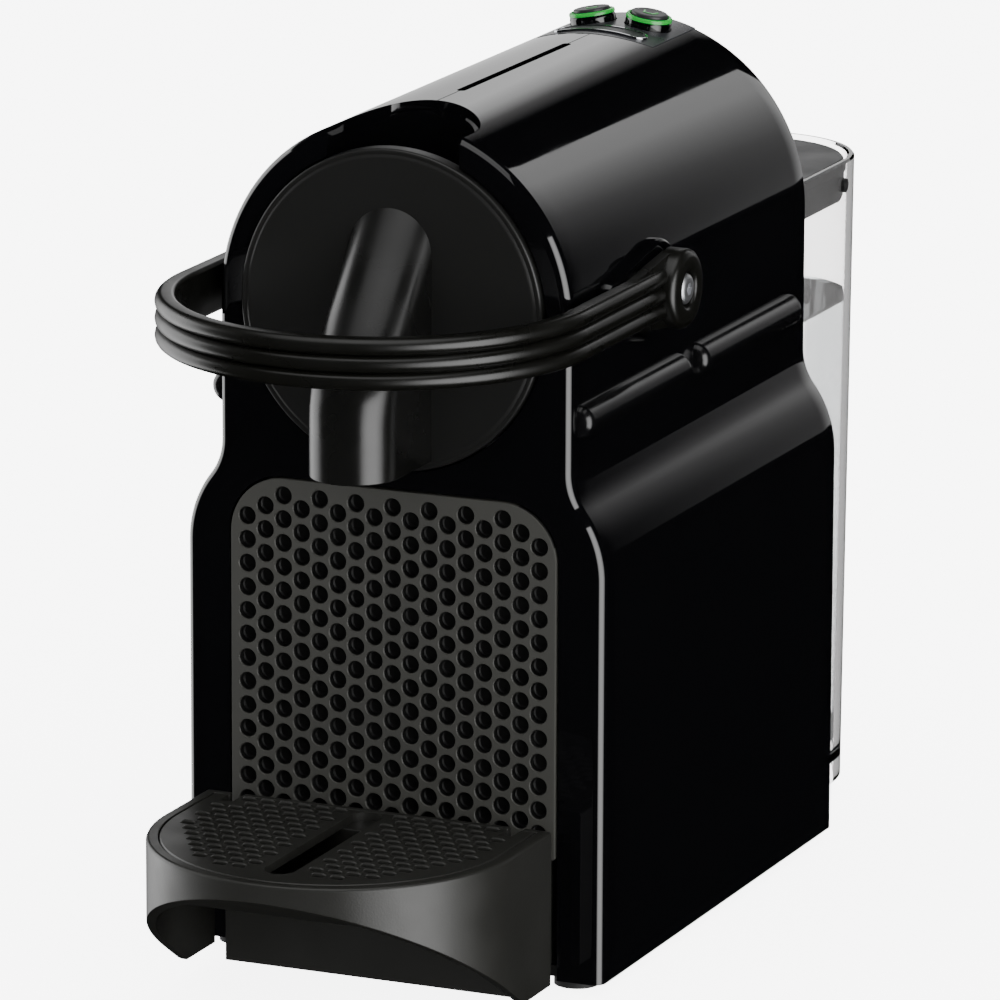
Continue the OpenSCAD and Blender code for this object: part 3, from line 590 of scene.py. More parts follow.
class Finishes:
    """Every finish of the machine, each built once and handed out by its slot."""

    # mirror-black ABS: deep black with the faint waviness of a moulded gloss part
    COVER = Finish(
        "abs_high_gloss_black", "#040405", "#060607", 0.045,
        Surface.POLISHED, grain=7.0, relief=0.004, mottle=0.015, ior=1.52, coat=0.2, cloud=30,
    )
    # the covers' grip bars: eroded in the same mould, so the same black turns satin
    GRIP = Finish(
        "abs_eroded_grip_black", "#060607", "#0a0a0b", 0.2, grain=0.4, relief=0.006, mottle=0.03,
    )
    # the wells of the pattern: a near-black colour that is painted shade for the dimples' recesses
    WELL_SHADE = Finish("abs_eroded_well_painted_shade", "#070706", "#0a0a09", 0.6, grain=0.5, relief=0.02)
    # eroded ABS: satin black whose fine pits scatter the lamps
    SATIN = Finish(
        "abs_satin_eroded_black", "#151514", "#111110", 0.4, grain=0.45, relief=0.012,
    )
    # the same satin moulding with a tighter shine from lower roughness, and a darker colour that is
    # painted shade for the hood's front
    HOOD_SHADED = Finish(
        "abs_satin_hood_painted_shade", "#0b0b0a", "#0e0e0d", 0.27, grain=0.45, relief=0.006,
    )
    # glass-filled nylon: slightly warm black, soft shine along the ribs
    LEVER = Finish(
        "nylon_glass_filled_black", "#090907", "#0d0d0a", 0.3, grain=0.5, relief=0.008,
    )
    # zinc-plated screw: pale, soft metal shine
    ZINC = Finish(
        "steel_zinc_plated", "#dcdde0", "#c9cacd", 0.45,
        Surface.CAST, grain=0.4, relief=0.006, metal=1.0,
    )
    # painted panel: dark grey lacquer with a fine sparkle
    PANEL = Finish(
        "lacquered_panel_graphite", "#2c2d30", "#26272a", 0.3, grain=0.3, relief=0.006,
    )
    # deep-textured ABS: warm dark grey, dull
    HONEYCOMB = Finish(
        "abs_textured_warm_grey", "#33332f", "#2b2b28", 0.5, grain=0.5, relief=0.02,
    )
    TRAY = Finish(
        "abs_textured_black", "#191917", "#1f1f1c", 0.4, grain=0.5, relief=0.016,
    )
    BUTTON = Finish(
        "abs_fine_matt_anthracite", "#1c1d1f", "#222326", 0.42, grain=0.35, relief=0.01,
    )
    RING = Finish(
        "polycarbonate_light_guide_green", "#0a8a2a", "#0c9430", 0.25,
        Surface.LIT, grain=1.2, relief=0.005, mottle=0.03, ior=1.58, glow=0.08,
    )
    TANK = Finish(
        "san_clear_moulded", "#e6e5e5", "#dfdede", 0.03,
        Surface.CLEAR, grain=18.0, relief=0.01, mottle=0.01, ior=1.42,
    )
    WATER = Finish(
        "water_still", "#f6fafb", "#f2f8fa", 0.0,
        Surface.WATER, grain=24.0, relief=0.02, mottle=0.0, ior=1.33,
    )
    LID = Finish(
        "abs_satin_grey", "#303031", "#29292a", 0.5, grain=0.5, relief=0.012,
    )
    STEEL = Finish(
        "stainless_turned_bright", "#c9c9c6", "#b4b4b2", 0.2,
        Surface.BRUSHED, grain=0.25, relief=0.004, mottle=0.05, metal=1.0,
    )
    BRASS = Finish(
        "brass_turned", "#c8a24b", "#a9852f", 0.28,
        Surface.BRUSHED, grain=0.3, relief=0.004, metal=1.0,
    )
    RUBBER = Finish(
        "rubber_nbr_moulded", "#161616", "#1d1d1d", 0.7, grain=0.6, relief=0.02,
    )
    SEAL = Finish(
        "silicone_seal_red", "#8f3a28", "#7d3020", 0.5, grain=0.8, relief=0.008,
    )
    INNER = Finish(
        "pa66_unpainted_grey", "#4c4d4f", "#3f4042", 0.55, grain=0.8, relief=0.03,
    )
    ALLOY = Finish(
        "aluminium_die_cast", "#9b9ca0", "#85868a", 0.48,
        Surface.CAST, grain=1.1, relief=0.05, mottle=0.08, metal=1.0,
    )
    HOSE = Finish(
        "silicone_hose_milky", "#d9dad6", "#c6c8c3", 0.4, grain=1.5, relief=0.01,
    )
    PUMP = Finish(
        "pbt_moulded_ochre", "#8f7424", "#7c641d", 0.45, grain=0.7, relief=0.02,
    )
    WHITE = Finish(
        "pom_natural_white", "#e4e4df", "#d8d8d2", 0.35, grain=0.9, relief=0.01,
    )
    BOARD = Finish(
        "fr4_solder_mask_green", "#1d5a33", "#174a2a", 0.35, grain=1.6, relief=0.03,
    )
    BADGE = Finish(
        "abs_chrome_plated", "#c9cbcf", "#b9bbbf", 0.08,
        Surface.POLISHED, grain=4.0, relief=0.003, mottle=0.02, metal=1.0,
    )

    SLOTS = {
        "cover": COVER, "satin_black": SATIN, "lever_black": LEVER, "panel_grey": PANEL,
        "honeycomb": HONEYCOMB, "tray_black": TRAY, "button_cap": BUTTON, "light_ring": RING,
        "tank_clear": TANK, "lid_grey": LID, "steel": STEEL, "brass": BRASS, "rubber": RUBBER,
        "seal": SEAL, "inner_plastic": INNER, "cast_alloy": ALLOY, "hose": HOSE,
        "pump_body": PUMP, "white_plastic": WHITE, "board": BOARD, "chrome_badge": BADGE,
    }

    def __init__(self) -> None:
        """Starts with no material built."""
        self.built: dict[str, bpy.types.Material] = {}

    def get(self, finish: Finish) -> bpy.types.Material:
        """Gives a finish's material, built on its first use."""
        if finish.name not in self.built:
            self.built[finish.name] = finish.build()
        return self.built[finish.name]

    def dress_where(
        self, piece: bpy.types.Object, finish: Finish, where: Callable[[Vector], bool]
    ) -> None:
        """Gives a second finish to the faces whose middle passes a test.

        Args:
            piece: The piece, already dressed.
            finish: The second finish.
            where: Takes a face's middle in metres.
        """
        piece.data.materials.append(self.get(finish))
        last = len(piece.data.materials) - 1
        for face in piece.data.polygons:
            if where(face.center):
                face.material_index = last

    def dress(self, piece: bpy.types.Object, finish: Finish) -> None:
        """Gives a piece one finish all over."""
        piece.data.materials.clear()
        piece.data.materials.append(self.get(finish))


FINISHES = Finishes()


def fit(
    piece: bpy.types.Object, body: str, slot: str, *nodes: str, finish: Finish | None = None
) -> bpy.types.Object:
    """Dresses a piece in its slot's finish or the one given, puts it on its body and hides the
    nodes it stands for.

    Args:
        piece: The piece.
        body: The body that carries it.
        slot: The record's material slot.
        *nodes: The nodes it stands for.
        finish: Its finish, or None for the slot's own.

    Returns:
        The same piece.
    """
    FINISHES.dress(piece, finish or Finishes.SLOTS[slot])
    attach(piece, body)
    if nodes:
        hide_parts(*nodes)
    LOG.info("%s: %d faces on %s", piece.name, len(piece.data.polygons), body)
    return piece


# ---------- housing ----------


@dataclass
class Housing:
    """The two glossy side covers with their shared front surround, and the back."""

    lower_half: float = 59.0
    upper_half: float = 49.5
    barrel_z: float = 176.5
    depth: float = 162.5
    wall: float = 2.6
    shoulder_z: float = 110.0
    shoulder_r: float = 29.0
    shoulder_lean: float = 38.0
    front_round: float = 3.0
    seam: float = 0.15
    disc_hole: float = 42.7
    panel_half: float = 46.5
    panel_top: float = 129.5
    panel_corner: float = 15.5
    slot_r: float = 18.5
    slot_y: float = 9.5
    line_r: float = 1.2
    line_ends: tuple[float, float] = (43.2, 112.8)
    pivot: tuple[float, float] = (54.0, 176.5)
    grips: tuple[tuple[float, float], ...] = ((3.5, 73.5), (82.0, 152.0))
    grip_x: float = 49.3
    grip_z: float = 150.6

    def outline(self, y: float, inset: float, low: float = 3.0) -> Loop:
        """Gives the body's outline seen from the front.

        Args:
            y: Place along the body.
            inset: How far inside the outer surface it runs.
            low: Height of its lower edge.

        Returns:
            The loop in metres.
        """
        lean = math.radians(self.shoulder_lean)
        centre_x = self.lower_half - self.shoulder_r
        hollow_r = (self.lower_half - self.upper_half) / (1 - math.cos(lean)) - self.shoulder_r
        top = self.shoulder_z + (self.shoulder_r + hollow_r) * math.sin(lean)
        side: Plan = [(self.lower_half - inset, low), (self.lower_half - inset, 60.0)]
        side += arc(
            centre_x, self.shoulder_z, self.shoulder_r - inset, 0, self.shoulder_lean, 14
        )
        side += arc(
            self.upper_half + hollow_r, top, hollow_r + inset, 180 + self.shoulder_lean, 180, 10
        )[1:]
        side += arc(0, self.barrel_z, self.upper_half - inset, 0, 90, 48)
        return [spot(x, y, z) for x, z in side] + [spot(-x, y, z) for x, z in side[-2::-1]]

    def skin(self) -> list[Loop]:
        """Lists the loops of the outer surface, front to back."""
        loops = []
        for i in range(9):
            a = math.radians(90 * i / 8)
            r = self.front_round
            loops.append(self.outline(r * (1 - math.cos(a)), r * (1 - math.sin(a))))
        length = self.depth - 0.6 - self.front_round
        loops += [self.outline(self.front_round + length * i / 24, 0) for i in range(1, 25)]
        return loops + [self.outline(self.depth, 0.5)]

    def shell(self) -> bpy.types.Object:
        """Makes the whole hollow housing with its openings.

        Returns:
            The shell, before it is parted at the seam.
        """
        shell = Bench.loft("right_cover", self.skin())
        hollow = [self.outline(y, self.wall, -9) for y in (3.0, 171.0)]
        Bench.combine(shell, Bench.loft("hollow", hollow))
        ahead, behind = -5.0, 12.0
        hole = [(self.disc_hole, ahead), (self.disc_hole, behind)]
        Bench.combine(
            shell, Bench.turned("hole", hole, spot(0, 0, self.barrel_z), Vector((0, 1, 0)), 128)
        )
        gate = arch(self.panel_half, -9.0, self.panel_top, self.panel_corner)
        Bench.combine(shell, Bench.prism("gate", gate, ahead, behind, "y"))
        return shell

    def top_cuts(self) -> list[bpy.types.Object]:
        """Makes the tools that cut the capsule slot, the long slot and the panel's seat."""
        slot = [(self.slot_r, -5.0)] + arc(0, self.slot_y, self.slot_r, 0, 180, 40)
        slot += [(-self.slot_r, -5.0)]
        line = long_slot(*self.line_ends, self.line_r, 8)
        return [
            Bench.prism("slot", slot, 200, 240),
            Bench.prism("line", line, 215, 240),
            Bench.prism("seat", Controls().plan(0.0), 200, 240),
        ]

    def grip(self, start: float, end: float) -> bpy.types.Object:
        """Makes one round grip bar with rounded ends.

        Args:
            start: Where it starts, back from the front.
            end: Where it ends.

        Returns:
            The bar, partly inside the cover.
        """
        length = end - start
        profile = [(0.9, 0.0), (2.6, 0.25), (3.7, 0.9), (4.3, 1.9), (4.4, 2.8)]
        profile += [(r, length - h) for r, h in profile[::-1]]
        first = spot(self.grip_x, start, self.grip_z)
        return Bench.turned("grip", profile, first, Vector((0, 1, 0)), 40)

    def boss(self) -> bpy.types.Object:
        """Makes the teardrop boss that carries the lever's hub and runs forward to a tip."""
        y, z = self.pivot
        reach, big, small = 30.0, 12.5, 3.0
        lean = math.degrees(math.asin((big - small) / reach))
        loops = []
        for x, inset in ((47.0, 0.0), (50.6, 0.0), (51.3, 0.3), (51.7, 1.1)):
            drop = arc(y - reach, z + 4.0, small - inset, 270 - lean, 90 + lean, 10)
            drop += arc(y, z, big - inset, 90 + lean, -90 - lean, 44)
            loops.append([spot(x, a, b) for a, b in drop])
        return Bench.loft("boss", loops)

    def build(self) -> None:
        """Builds both covers."""
        form = Bench.loft("form", self.skin())
        Bench.shade(form, 40)
        cover = self.shell()
        for tool in self.top_cuts():
            Bench.combine(cover, tool)
        Bench.half(cover, self.seam)
        for start, end in self.grips:
            Bench.combine(cover, self.grip(start, end), "UNION")
        Bench.combine(cover, self.boss(), "UNION")
        left = Bench.mirrored(cover, "left_cover")
        for side, node in ((cover, "right_side_cover"), (left, "left_side_cover")):
            Bench.soften(side, 0.35)
            Bench.borrow_normals(side, form, 0.05)
            fit(side, "machine", "cover", node)
            FINISHES.dress_where(side, Finishes.GRIP, self.on_grip)
        bpy.data.objects.remove(form)

    def on_grip(self, middle: Vector) -> bool:
        """Tells whether a face lies on a grip bar, which has an eroded surface."""
        near_bar = abs(middle.z - self.grip_z * MM) < 4.7 * MM
        return near_bar and abs(middle.x) > (self.upper_half + 0.12) * MM


# ---------- brewing head ----------


@dataclass
class BrewHead:
    """The round disc and the coffee outlet's hood."""

    centre_z: float = 176.5
    disc_r: float = 42.2
    proud: float = 2.0
    hood_r: float = 11.7
    hood_y: float = -23.4
    hood_low: float = 138.0
    hood_bend: float = 163.0
    hood_arch: float = 191.8

    def disc(self) -> bpy.types.Object:
        """Makes the disc with its stepped, rounded rim."""
        r, front = self.disc_r, -self.proud
        profile = [
            (r, 3.0), (r, front + 1.0), (r - 0.25, front + 0.5), (r - 0.8, front + 0.25),
            (r - 1.3, front + 0.5), (r - 1.6, front + 0.5), (r - 2.0, front + 0.1),
            (r - 2.6, front), (r * 0.5, front),
        ]
        return Bench.turned(
            "head_disc", profile, spot(0, 0, self.centre_z), Vector((0, 1, 0)), 128
        )

    def hood_loop(self, t: float) -> Loop:
        """Gives one loop round the hood.

        Args:
            t: 0 at its mouth, 1 at the bend, 2 at the arch on the disc.

        Returns:
            The loop in metres.
        """
        back = -self.proud + 0.05
        points = []
        for i in range(33):
            a = math.radians(-90 + 180 * i / 32)
            side, ahead = math.sin(a), math.cos(a)
            low = Vector((self.hood_r * side, self.hood_y - self.hood_r * ahead, self.hood_low))
            bend = Vector((low.x, low.y, self.hood_bend))
            arch = Vector((low.x, back, self.hood_arch + self.hood_r * ahead))
            if t <= 1:
                end = low.lerp(bend, t)
            else:
                end = bend.lerp(arch, t - 1)
            # a quadratic curve rounds the bend off
            near = min(1.0, max(0.0, (t - 0.6) / 0.8))
            if 0 < near < 1:
                first, last = low.lerp(bend, 0.6), bend.lerp(arch, 0.4)
                end = first.lerp(bend, near).lerp(bend.lerp(last, near), near)
            points.append(spot(end.x, end.y, end.z))
        left, right = points[0], points[-1]
        wall = spot(0, back + 0.4, 0).y
        return [Vector((left.x, wall, left.z))] + points + [Vector((right.x, wall, right.z))]

    def hood(self) -> bpy.types.Object:
        """Makes the hood with an open mouth below."""
        steps = [0.0, 0.3, 0.6] + [0.6 + 0.1 * i for i in range(1, 9)]
        steps += [1.6, 1.8, 1.9, 1.97, 2.0]
        hood = Bench.loft("outlet_hood", [self.hood_loop(t) for t in steps])
        mouth = [(8.9, -1.0), (9.2, 3.0), (9.2, 19.0)]
        Bench.combine(
            hood,
            Bench.turned(
                "mouth", mouth, spot(0, self.hood_y, self.hood_low), Vector((0, 0, 1)), 48
            ),
        )
        return hood

    def build(self) -> None:
        """Builds the disc and the hood."""
        disc = Bench.soften(self.disc(), 0.3, 50)
        fit(disc, "machine", "satin_black", "brewing_head_disc")
        hood = Bench.soften(self.hood(), 0.6, 55, 3)
        # the hood's finish is the satin black darkened as painted shade
        fit(hood, "machine", "satin_black", "coffee_outlet_hood", finish=Finishes.HOOD_SHADED)


# ---------- lever ----------


@dataclass
class Lever:
    """The bail lever: a ribbed band round the front, with a hub on each side."""

    level: float = 176.5
    pivot_y: float = 54.0
    outer: float = 57.5
    front_y: float = -8.0
    height: float = 13.4
    thick: float = 5.4
    hub_r: float = 10.5
    hub_in: float = 52.9
    hub_out: float = 60.0

    def section(self) -> Plan:
        """Gives the band's section as pairs of outward and upward places."""
        rib = self.height / 6
        half = self.height / 2
        deep = -self.thick
        points: Plan = []
        for middle in (2 * rib, 0.0, -2 * rib):
            points += arc(-rib, middle, rib, 84, -84, 8)
        points += arc(deep + 1.2, 1.2 - half, 1.2, 270, 180, 4)
        points += arc(deep + 1.2, half - 1.2, 1.2, 180, 90, 4)
        return points

    def band(self) -> bpy.types.Object:
        """Makes the band from one hub round the front to the other."""
        way: list[tuple[float, float, float]] = []
        for y in (self.pivot_y - 2, 40.0, 30.0, 20.0, 10.0, 0.0):
            way.append((self.outer, y, 0.0))
        for i in range(73):
            a = math.radians(180 * i / 72)
            way.append((self.outer * math.cos(a), self.front_y - self.outer * math.sin(a), a))
        way += [(-x, y, math.pi) for x, y, _ in way[5::-1]]
        loops = []
        for x, y, a in way:
            out = Vector((math.cos(a), -math.sin(a), 0.0)) * MM
            base = spot(x, y, self.level)
            loops.append([base + out * u + Vector((0, 0, w * MM)) for u, w in self.section()])
        return Bench.loft("lever", loops)

    def hub(self, side: int) -> bpy.types.Object:
        """Makes one hub disc with a dish round its screw.

        Args:
            side: 1 on the right, -1 on the left.

        Returns:
            The hub.
        """
        r, deep, far = self.hub_r, self.hub_in, self.hub_out
        profile = [
            (r - 0.8, deep), (r, deep + 0.8), (r, far - 2.0), (r - 0.3, far - 1.0),
            (r - 1.1, far - 0.3), (r - 2.2, far), (5.6, far), (5.0, far - 0.4), (4.7, far - 1.2),
            (4.6, far - 3.0),
        ]
        start = spot(0, self.pivot_y, self.level)
        return Bench.turned("hub", profile, start, Vector((side, 0, 0)), 64)

    def screw(self, side: int) -> bpy.types.Object:
        """Makes one domed screw with a six-sided socket, seated in the hub's dish.

        Args:
            side: 1 on the right, -1 on the left.

        Returns:
            The screw.
        """
        far = self.hub_out
        profile = [
            (1.4, far - 12.0), (1.5, far - 3.0), (3.9, far - 3.0), (4.1, far - 2.7),
            (4.1, far - 1.3), (3.9, far - 0.8), (3.3, far - 0.35), (2.6, far - 0.15),
        ]
        start = spot(0, self.pivot_y, self.level)
        way = Vector((side, 0, 0))
        screw = Bench.turned("screw", profile, start, way, 48)
        socket = Bench.turned("socket", [(1.7, far - 1.8), (1.7, far + 1.0)], start, way, 6)
        Bench.combine(screw, socket)
        return Bench.shade(screw, 35)

    def flare(self, side: int) -> bpy.types.Object:
        """Makes the web that widens an arm to its hub."""
        y, z = self.pivot_y, self.level
        plan = [(y - 30, z + 6.2), (y - 30, z - 6.2), (y - 2, z - 10.0), (y - 2, z + 10.0)]
        return Bench.slab("flare", plan, side, self.hub_in + 0.1, self.hub_in + 2.9)

    def build(self) -> None:
        """Builds the whole lever as one moulding."""
        lever = self.band()
        for side in (1, -1):
            Bench.combine(lever, self.flare(side), "UNION")
            Bench.combine(lever, self.hub(side), "UNION")
        Bench.soften(lever, 0.3, 48)
        fit(lever, "lever", "lever_black", "lever_bail")
        heads = [self.screw(side) for side in (1, -1)]
        screws = Bench.join("lever_screws", heads)
        fit(screws, "lever", "steel", "lever_screws", finish=Finishes.ZINC)


# ---------- controls ----------


@dataclass
class Controls:
    """The control panel with its badge, two buttons and their light rings."""

    half: float = 17.0
    front: float = 128.8
    back: float = 162.5
    barrel_r: float = 49.5
    barrel_z: float = 176.5
    button_x: float = 8.0
    button_y: float = 150.0
    badge_half: float = 13.5
    badge_r: float = 3.4
    badge_y: float = 136.2

    def plan(self, inset: float) -> Plan:
        """Gives the panel's plan with its bowed front edge.

        Args:
            inset: How far inside the seat it runs.

        Returns:
            The outline in mm.
        """
        half = self.half - inset
        bow = self.half * 2.75
        lean = math.degrees(math.asin(half / bow))
        front = arc(0, self.front + inset + bow, bow, 270 - lean, 270 + lean, 16)
        return front + [(half, self.back + 1.0), (-half, self.back + 1.0)]

    def barrel(self, r: float, end: float) -> bpy.types.Object:
        """Makes a bar as round as the barrel, to cut or keep with."""
        return Bench.turned(
            "barrel", [(r, 100.0), (r, end)], spot(0, 0, self.barrel_z), Vector((0, 1, 0)), 256
        )

    def on_barrel(self, side: int, up: float) -> tuple[Vector, Vector]:
        """Gives a button's place and direction on the barrel.

        Args:
            side: 1 on the right, -1 on the left.
            up: Height above the barrel's surface.

        Returns:
            The place in metres and the outward direction.
        """
        tilt = math.asin(self.button_x / self.barrel_r)
        out = Vector((side * math.sin(tilt), 0, math.cos(tilt)))
        middle = spot(0, self.button_y, self.barrel_z)
        return middle + out * (self.barrel_r + up) * MM, out

    def panel(self) -> bpy.types.Object:
        """Makes the curved panel with a well for each button."""
        panel = Bench.prism("control_panel", self.plan(0.25), 200, 240)
        Bench.combine(panel, self.barrel(self.barrel_r + 0.1, self.back), "INTERSECT")
        Bench.combine(panel, self.barrel(self.barrel_r - 4.0, self.back + 5))
        for side in (1, -1):
            place, out = self.on_barrel(side, -12)
            Bench.combine(panel, Bench.turned("well", [(6.5, 0.0), (6.5, 20.0)], place, out, 64))
        return panel

    def collar(self, side: int, name: str) -> bpy.types.Object:
        """Makes the dark collar that carries a button's lit ring."""
        place, out = self.on_barrel(side, 0)
        profile = [
            (6.3, -6.0), (6.3, 1.0), (6.2, 1.5), (6.0, 1.9), (5.3, 1.9), (5.2, 1.6), (3.0, 1.2),
        ]
        return Bench.turned(name, profile, place, out, 64)

    def ring(self, side: int, name: str) -> bpy.types.Object:
        """Makes the thin lit ring round a button, closed on itself."""
        place, out = self.on_barrel(side, 0)
        profile = [
            (6.3, 1.95), (6.3, 2.5), (6.15, 2.85), (5.85, 3.0), (5.5, 2.95), (5.2, 2.6),
            (5.15, 1.95),
        ]
        return Bench.turned(name, profile, place, out, 64, ring=True)

    def cap(self, side: int, name: str) -> bpy.types.Object:
        """Makes a button's cap with a dished top."""
        place, out = self.on_barrel(side, 0)
        profile = [
            (2.0, -0.8), (2.0, 2.4), (4.9, 2.4), (5.0, 2.6), (5.0, 3.35), (4.85, 3.65),
            (4.4, 3.78), (3.6, 3.7), (1.5, 3.6),
        ]
        return Bench.turned(name, profile, place, out, 64)

    def mark(self, side: int, name: str, size: float) -> bpy.types.Object:
        """Makes a plain cup outline that stands on a cap.

        Args:
            side: 1 on the right, -1 on the left.
            name: Name of the piece.
            size: Width of the cup in mm.

        Returns:
            The mark.
        """
        place, out = self.on_barrel(side, 3.62)
        across = Vector((0, 1, 0)).cross(out).normalized()
        half, line = size / 2, 0.35
        low, top = -half * 0.6, half * 0.6
        cup = [(-half, top), (-half * 0.7, low), (half * 0.7, low), (half, top)]
        cup += [(half - line, top), (half * 0.7 - line, low + line)]
        cup += [(line - half * 0.7, low + line), (line - half, top)]
        base = [place + (across * x + Vector((0, y, 0))) * MM for x, y in cup]
        raised = [p + out * 0.12 * MM for p in base]
        return Bench.loft(name, [base, raised])

    def oval(self, inset: float) -> Plan:
        """Gives the badge's plan, inset by a width."""
        r = self.badge_r - inset
        x, y = self.badge_half - self.badge_r, self.badge_y
        return arc(x, y, r, -90, 90, 16) + arc(-x, y, r, 90, 270, 16)

    def badge(self, inset: float, low: float, high: float, name: str) -> bpy.types.Object:
        """Makes an oval plate that follows the barrel.

        Args:
            inset: How far inside the badge's edge it ends.
            low: Its underside above the barrel.
            high: Its top above the barrel.
            name: Name of the piece.

        Returns:
            The plate.
        """
        plate = Bench.prism(name, self.oval(inset), 200, 240)
        Bench.combine(plate, self.barrel(self.barrel_r + high, 170), "INTERSECT")
        Bench.combine(plate, self.barrel(self.barrel_r + low, 170))
        return plate

    def build(self) -> None:
        """Builds the panel, badge, rings, caps and marks."""
        fit(Bench.soften(self.panel(), 0.25), "machine", "panel_grey", "control_panel")
        rim = self.badge(0.0, 0.12, 0.62, "name_badge_rim")
        Bench.combine(rim, Bench.prism("well", self.oval(0.6), 200, 240))
        fit(Bench.soften(rim, 0.15), "machine", "chrome_badge", "name_badge")
        field_plate = Bench.shade(self.badge(0.65, 0.12, 0.4, "name_badge_field"), 40)
        fit(field_plate, "machine", "chrome_badge", finish=Finishes.BUTTON)
        for side, name, size in ((-1, "espresso", 3.2), (1, "lungo", 4.2)):
            body = name + "_key"
            ring = Bench.shade(self.ring(side, name + "_ring"), 40)
            fit(ring, "machine", "light_ring", name + "_light_ring")
            collar = Bench.shade(self.collar(side, name + "_collar"), 40)
            fit(collar, "machine", "light_ring", finish=Finishes.COVER)
            cap = Bench.shade(self.cap(side, name + "_cap"), 40)
            fit(cap, body, "button_cap", name + "_button")
            fit(self.mark(side, name + "_mark", size), body, "light_ring")


# ---------- water tank ----------


@dataclass
class WaterTank:
    """The clear tank behind the covers, its water, lid and valve neck."""

    half: float = 45.0
    front: float = 163.3
    back: float = 235.0
    top: float = 181.0
    low: float = 4.0
    corner: float = 30.0
    wall: float = 2.0
    taper: float = 4.5
    floor: float = 12.0
    level: float = 141.0
    valve_y: float = 190.0
    cheek_in: float = 39.4
    cheek_out: float = 41.8
    pin_y: float = 205.0
    pin_z: float = 174.0

    def plan(self, z: float, inset: float) -> Loop:
        """Gives the tank's plan at a height.

        Args:
            z: Height in mm.
            inset: How far inside the outer wall it runs.

        Returns:
            The loop in metres.
        """
        back = self.back - self.taper * (self.top - z) / (self.top - self.low)
        cx, cy = self.half - self.corner, back - self.corner
        r = self.corner - inset
        nose = 1.0
        x, y = self.half - inset, self.front + inset
        points = [(x - nose, y), (x, y + nose)]
        points += arc(cx, cy, r, 0, 90, 20) + arc(-cx, cy, r, 90, 180, 20)
        points += [(-x, y + nose), (nose - x, y)]
        return [spot(a, b, z) for a, b in points]

    def tank(self) -> bpy.types.Object:
        """Makes the tank as one clear moulding with a bay for its dock."""
        w = self.wall
        levels = [
            (10.0, w), (self.low, w), (self.low, 0.5), (self.low + 0.5, 0.0), (60.0, 0.0),
            (120.0, 0.0), (self.top - 0.6, 0.0), (self.top, 0.5), (self.top, w - 0.5),
            (self.top - 0.6, w), (120.0, w), (60.0, w), (self.floor + 2, w),
            (self.floor + 0.5, w + 0.6), (self.floor, w + 2),
        ]
        tank = Bench.loft("tank", [self.plan(z, inset) for z, inset in levels])
        gate = [(-36.5, 160.0), (36.5, 160.0), (36.5, 166.5), (-36.5, 166.5)]
        Bench.combine(tank, Bench.prism("gate", gate, 0, 9.9))
        neck = [(8.3, 11.5), (8.3, 15.6), (8.0, 16.0), (6.8, 16.0)]
        base = spot(0, self.valve_y, 0)
        up = Vector((0, 0, 1))
        Bench.combine(tank, Bench.turned("neck", neck, base, up, 48), "UNION")
        Bench.combine(tank, Bench.turned("bore", [(6.3, 5.0), (6.3, 20.0)], base, up, 48))
        return tank

    def water(self) -> bpy.types.Object:
        """Makes the water with the small climb at the wall."""
        gap = self.wall + 0.08
        levels = [
            (self.floor + 4.2, gap + 0.2), (60.0, gap), (120.0, gap), (self.level, gap),
            (self.level + 0.5, gap), (self.level + 0.1, gap + 0.8), (self.level, gap + 2),
        ]
        return Bench.loft("tank_water", [self.plan(z, inset) for z, inset in levels])

    def lid(self) -> bpy.types.Object:
        """Makes the lid with a finger hollow and its two hinge cheeks."""
        inset = self.wall + 1
        levels = [(177.0, inset + 0.3), (177.3, inset), (179.4, inset), (180.0, inset + 0.6)]
        lid = Bench.loft("lid", [self.plan(z, i) for z, i in levels])
        dish = arc(0, 182.0, 13.0, 0, 360 - 9, 39)
        tool = Bench.loft(
            "dish",
            [[spot(x * k, 182 + (y - 182) * k, z) for x, y in dish]
             for k, z in ((0.55, 178.8), (0.85, 179.3), (1.0, 180.2), (1.05, 182.0))],
        )
        Bench.combine(lid, tool)
        for side in (1, -1):
            cheek = [(167.0, 177.2), (167.0, 171.0)] + arc(168.5, 171.0, 1.5, 180, 270, 4)
            cheek += arc(203.5, 173.5, 4.0, 270, 360, 8) + [(207.5, 177.2)]
            slab = Bench.slab("cheek", cheek, side, self.cheek_in, self.cheek_out)
            Bench.combine(lid, slab, "UNION")
            pin = [(2.0, 0.0), (2.0, 2.4), (1.7, 2.8)]
            place = spot(side * self.cheek_out, self.pin_y, self.pin_z)
            peg = Bench.turned("peg", pin, place, Vector((side, 0, 0)), 24)
            lid = Bench.join("lid", [lid, peg])
        return lid

    def cage(self) -> bpy.types.Object:
        """Makes the three posts and the ring that hold the valve's spring."""
        up = Vector((0, 0, 1))
        parts = []
        for a in (0.0, 120.0, 240.0):
            x, y = arc(0, self.valve_y, 10.5, a, a, 1)[0]
            parts.append(
                Bench.turned("post", [(1.6, 0.0), (1.3, 1.0), (1.3, 18.2)], spot(x, y, 12), up, 16)
            )
        ring = [(12.0, 30.0), (12.0, 31.7), (11.7, 32.0), (3.4, 32.0), (3.1, 31.7), (3.1, 30.0)]
        parts.append(Bench.turned("ring", ring, spot(0, self.valve_y, 0), up, 48, ring=True))
        return Bench.join("valve_cage", parts)

    def build(self) -> None:
        """Builds the tank and what it holds."""
        tank = Bench.shade(self.tank(), 35)
        fit(tank, "tank", "tank_clear", "water_tank")
        water = Bench.shade(self.water(), 35)
        fit(water, "tank", "tank_clear", finish=Finishes.WATER)
        fit(Bench.shade(self.cage(), 35), "tank", "white_plastic")
        fit(Bench.soften(self.lid(), 0.3), "lid", "lid_grey", "tank_lid")


# ---------- capsule and drip unit ----------


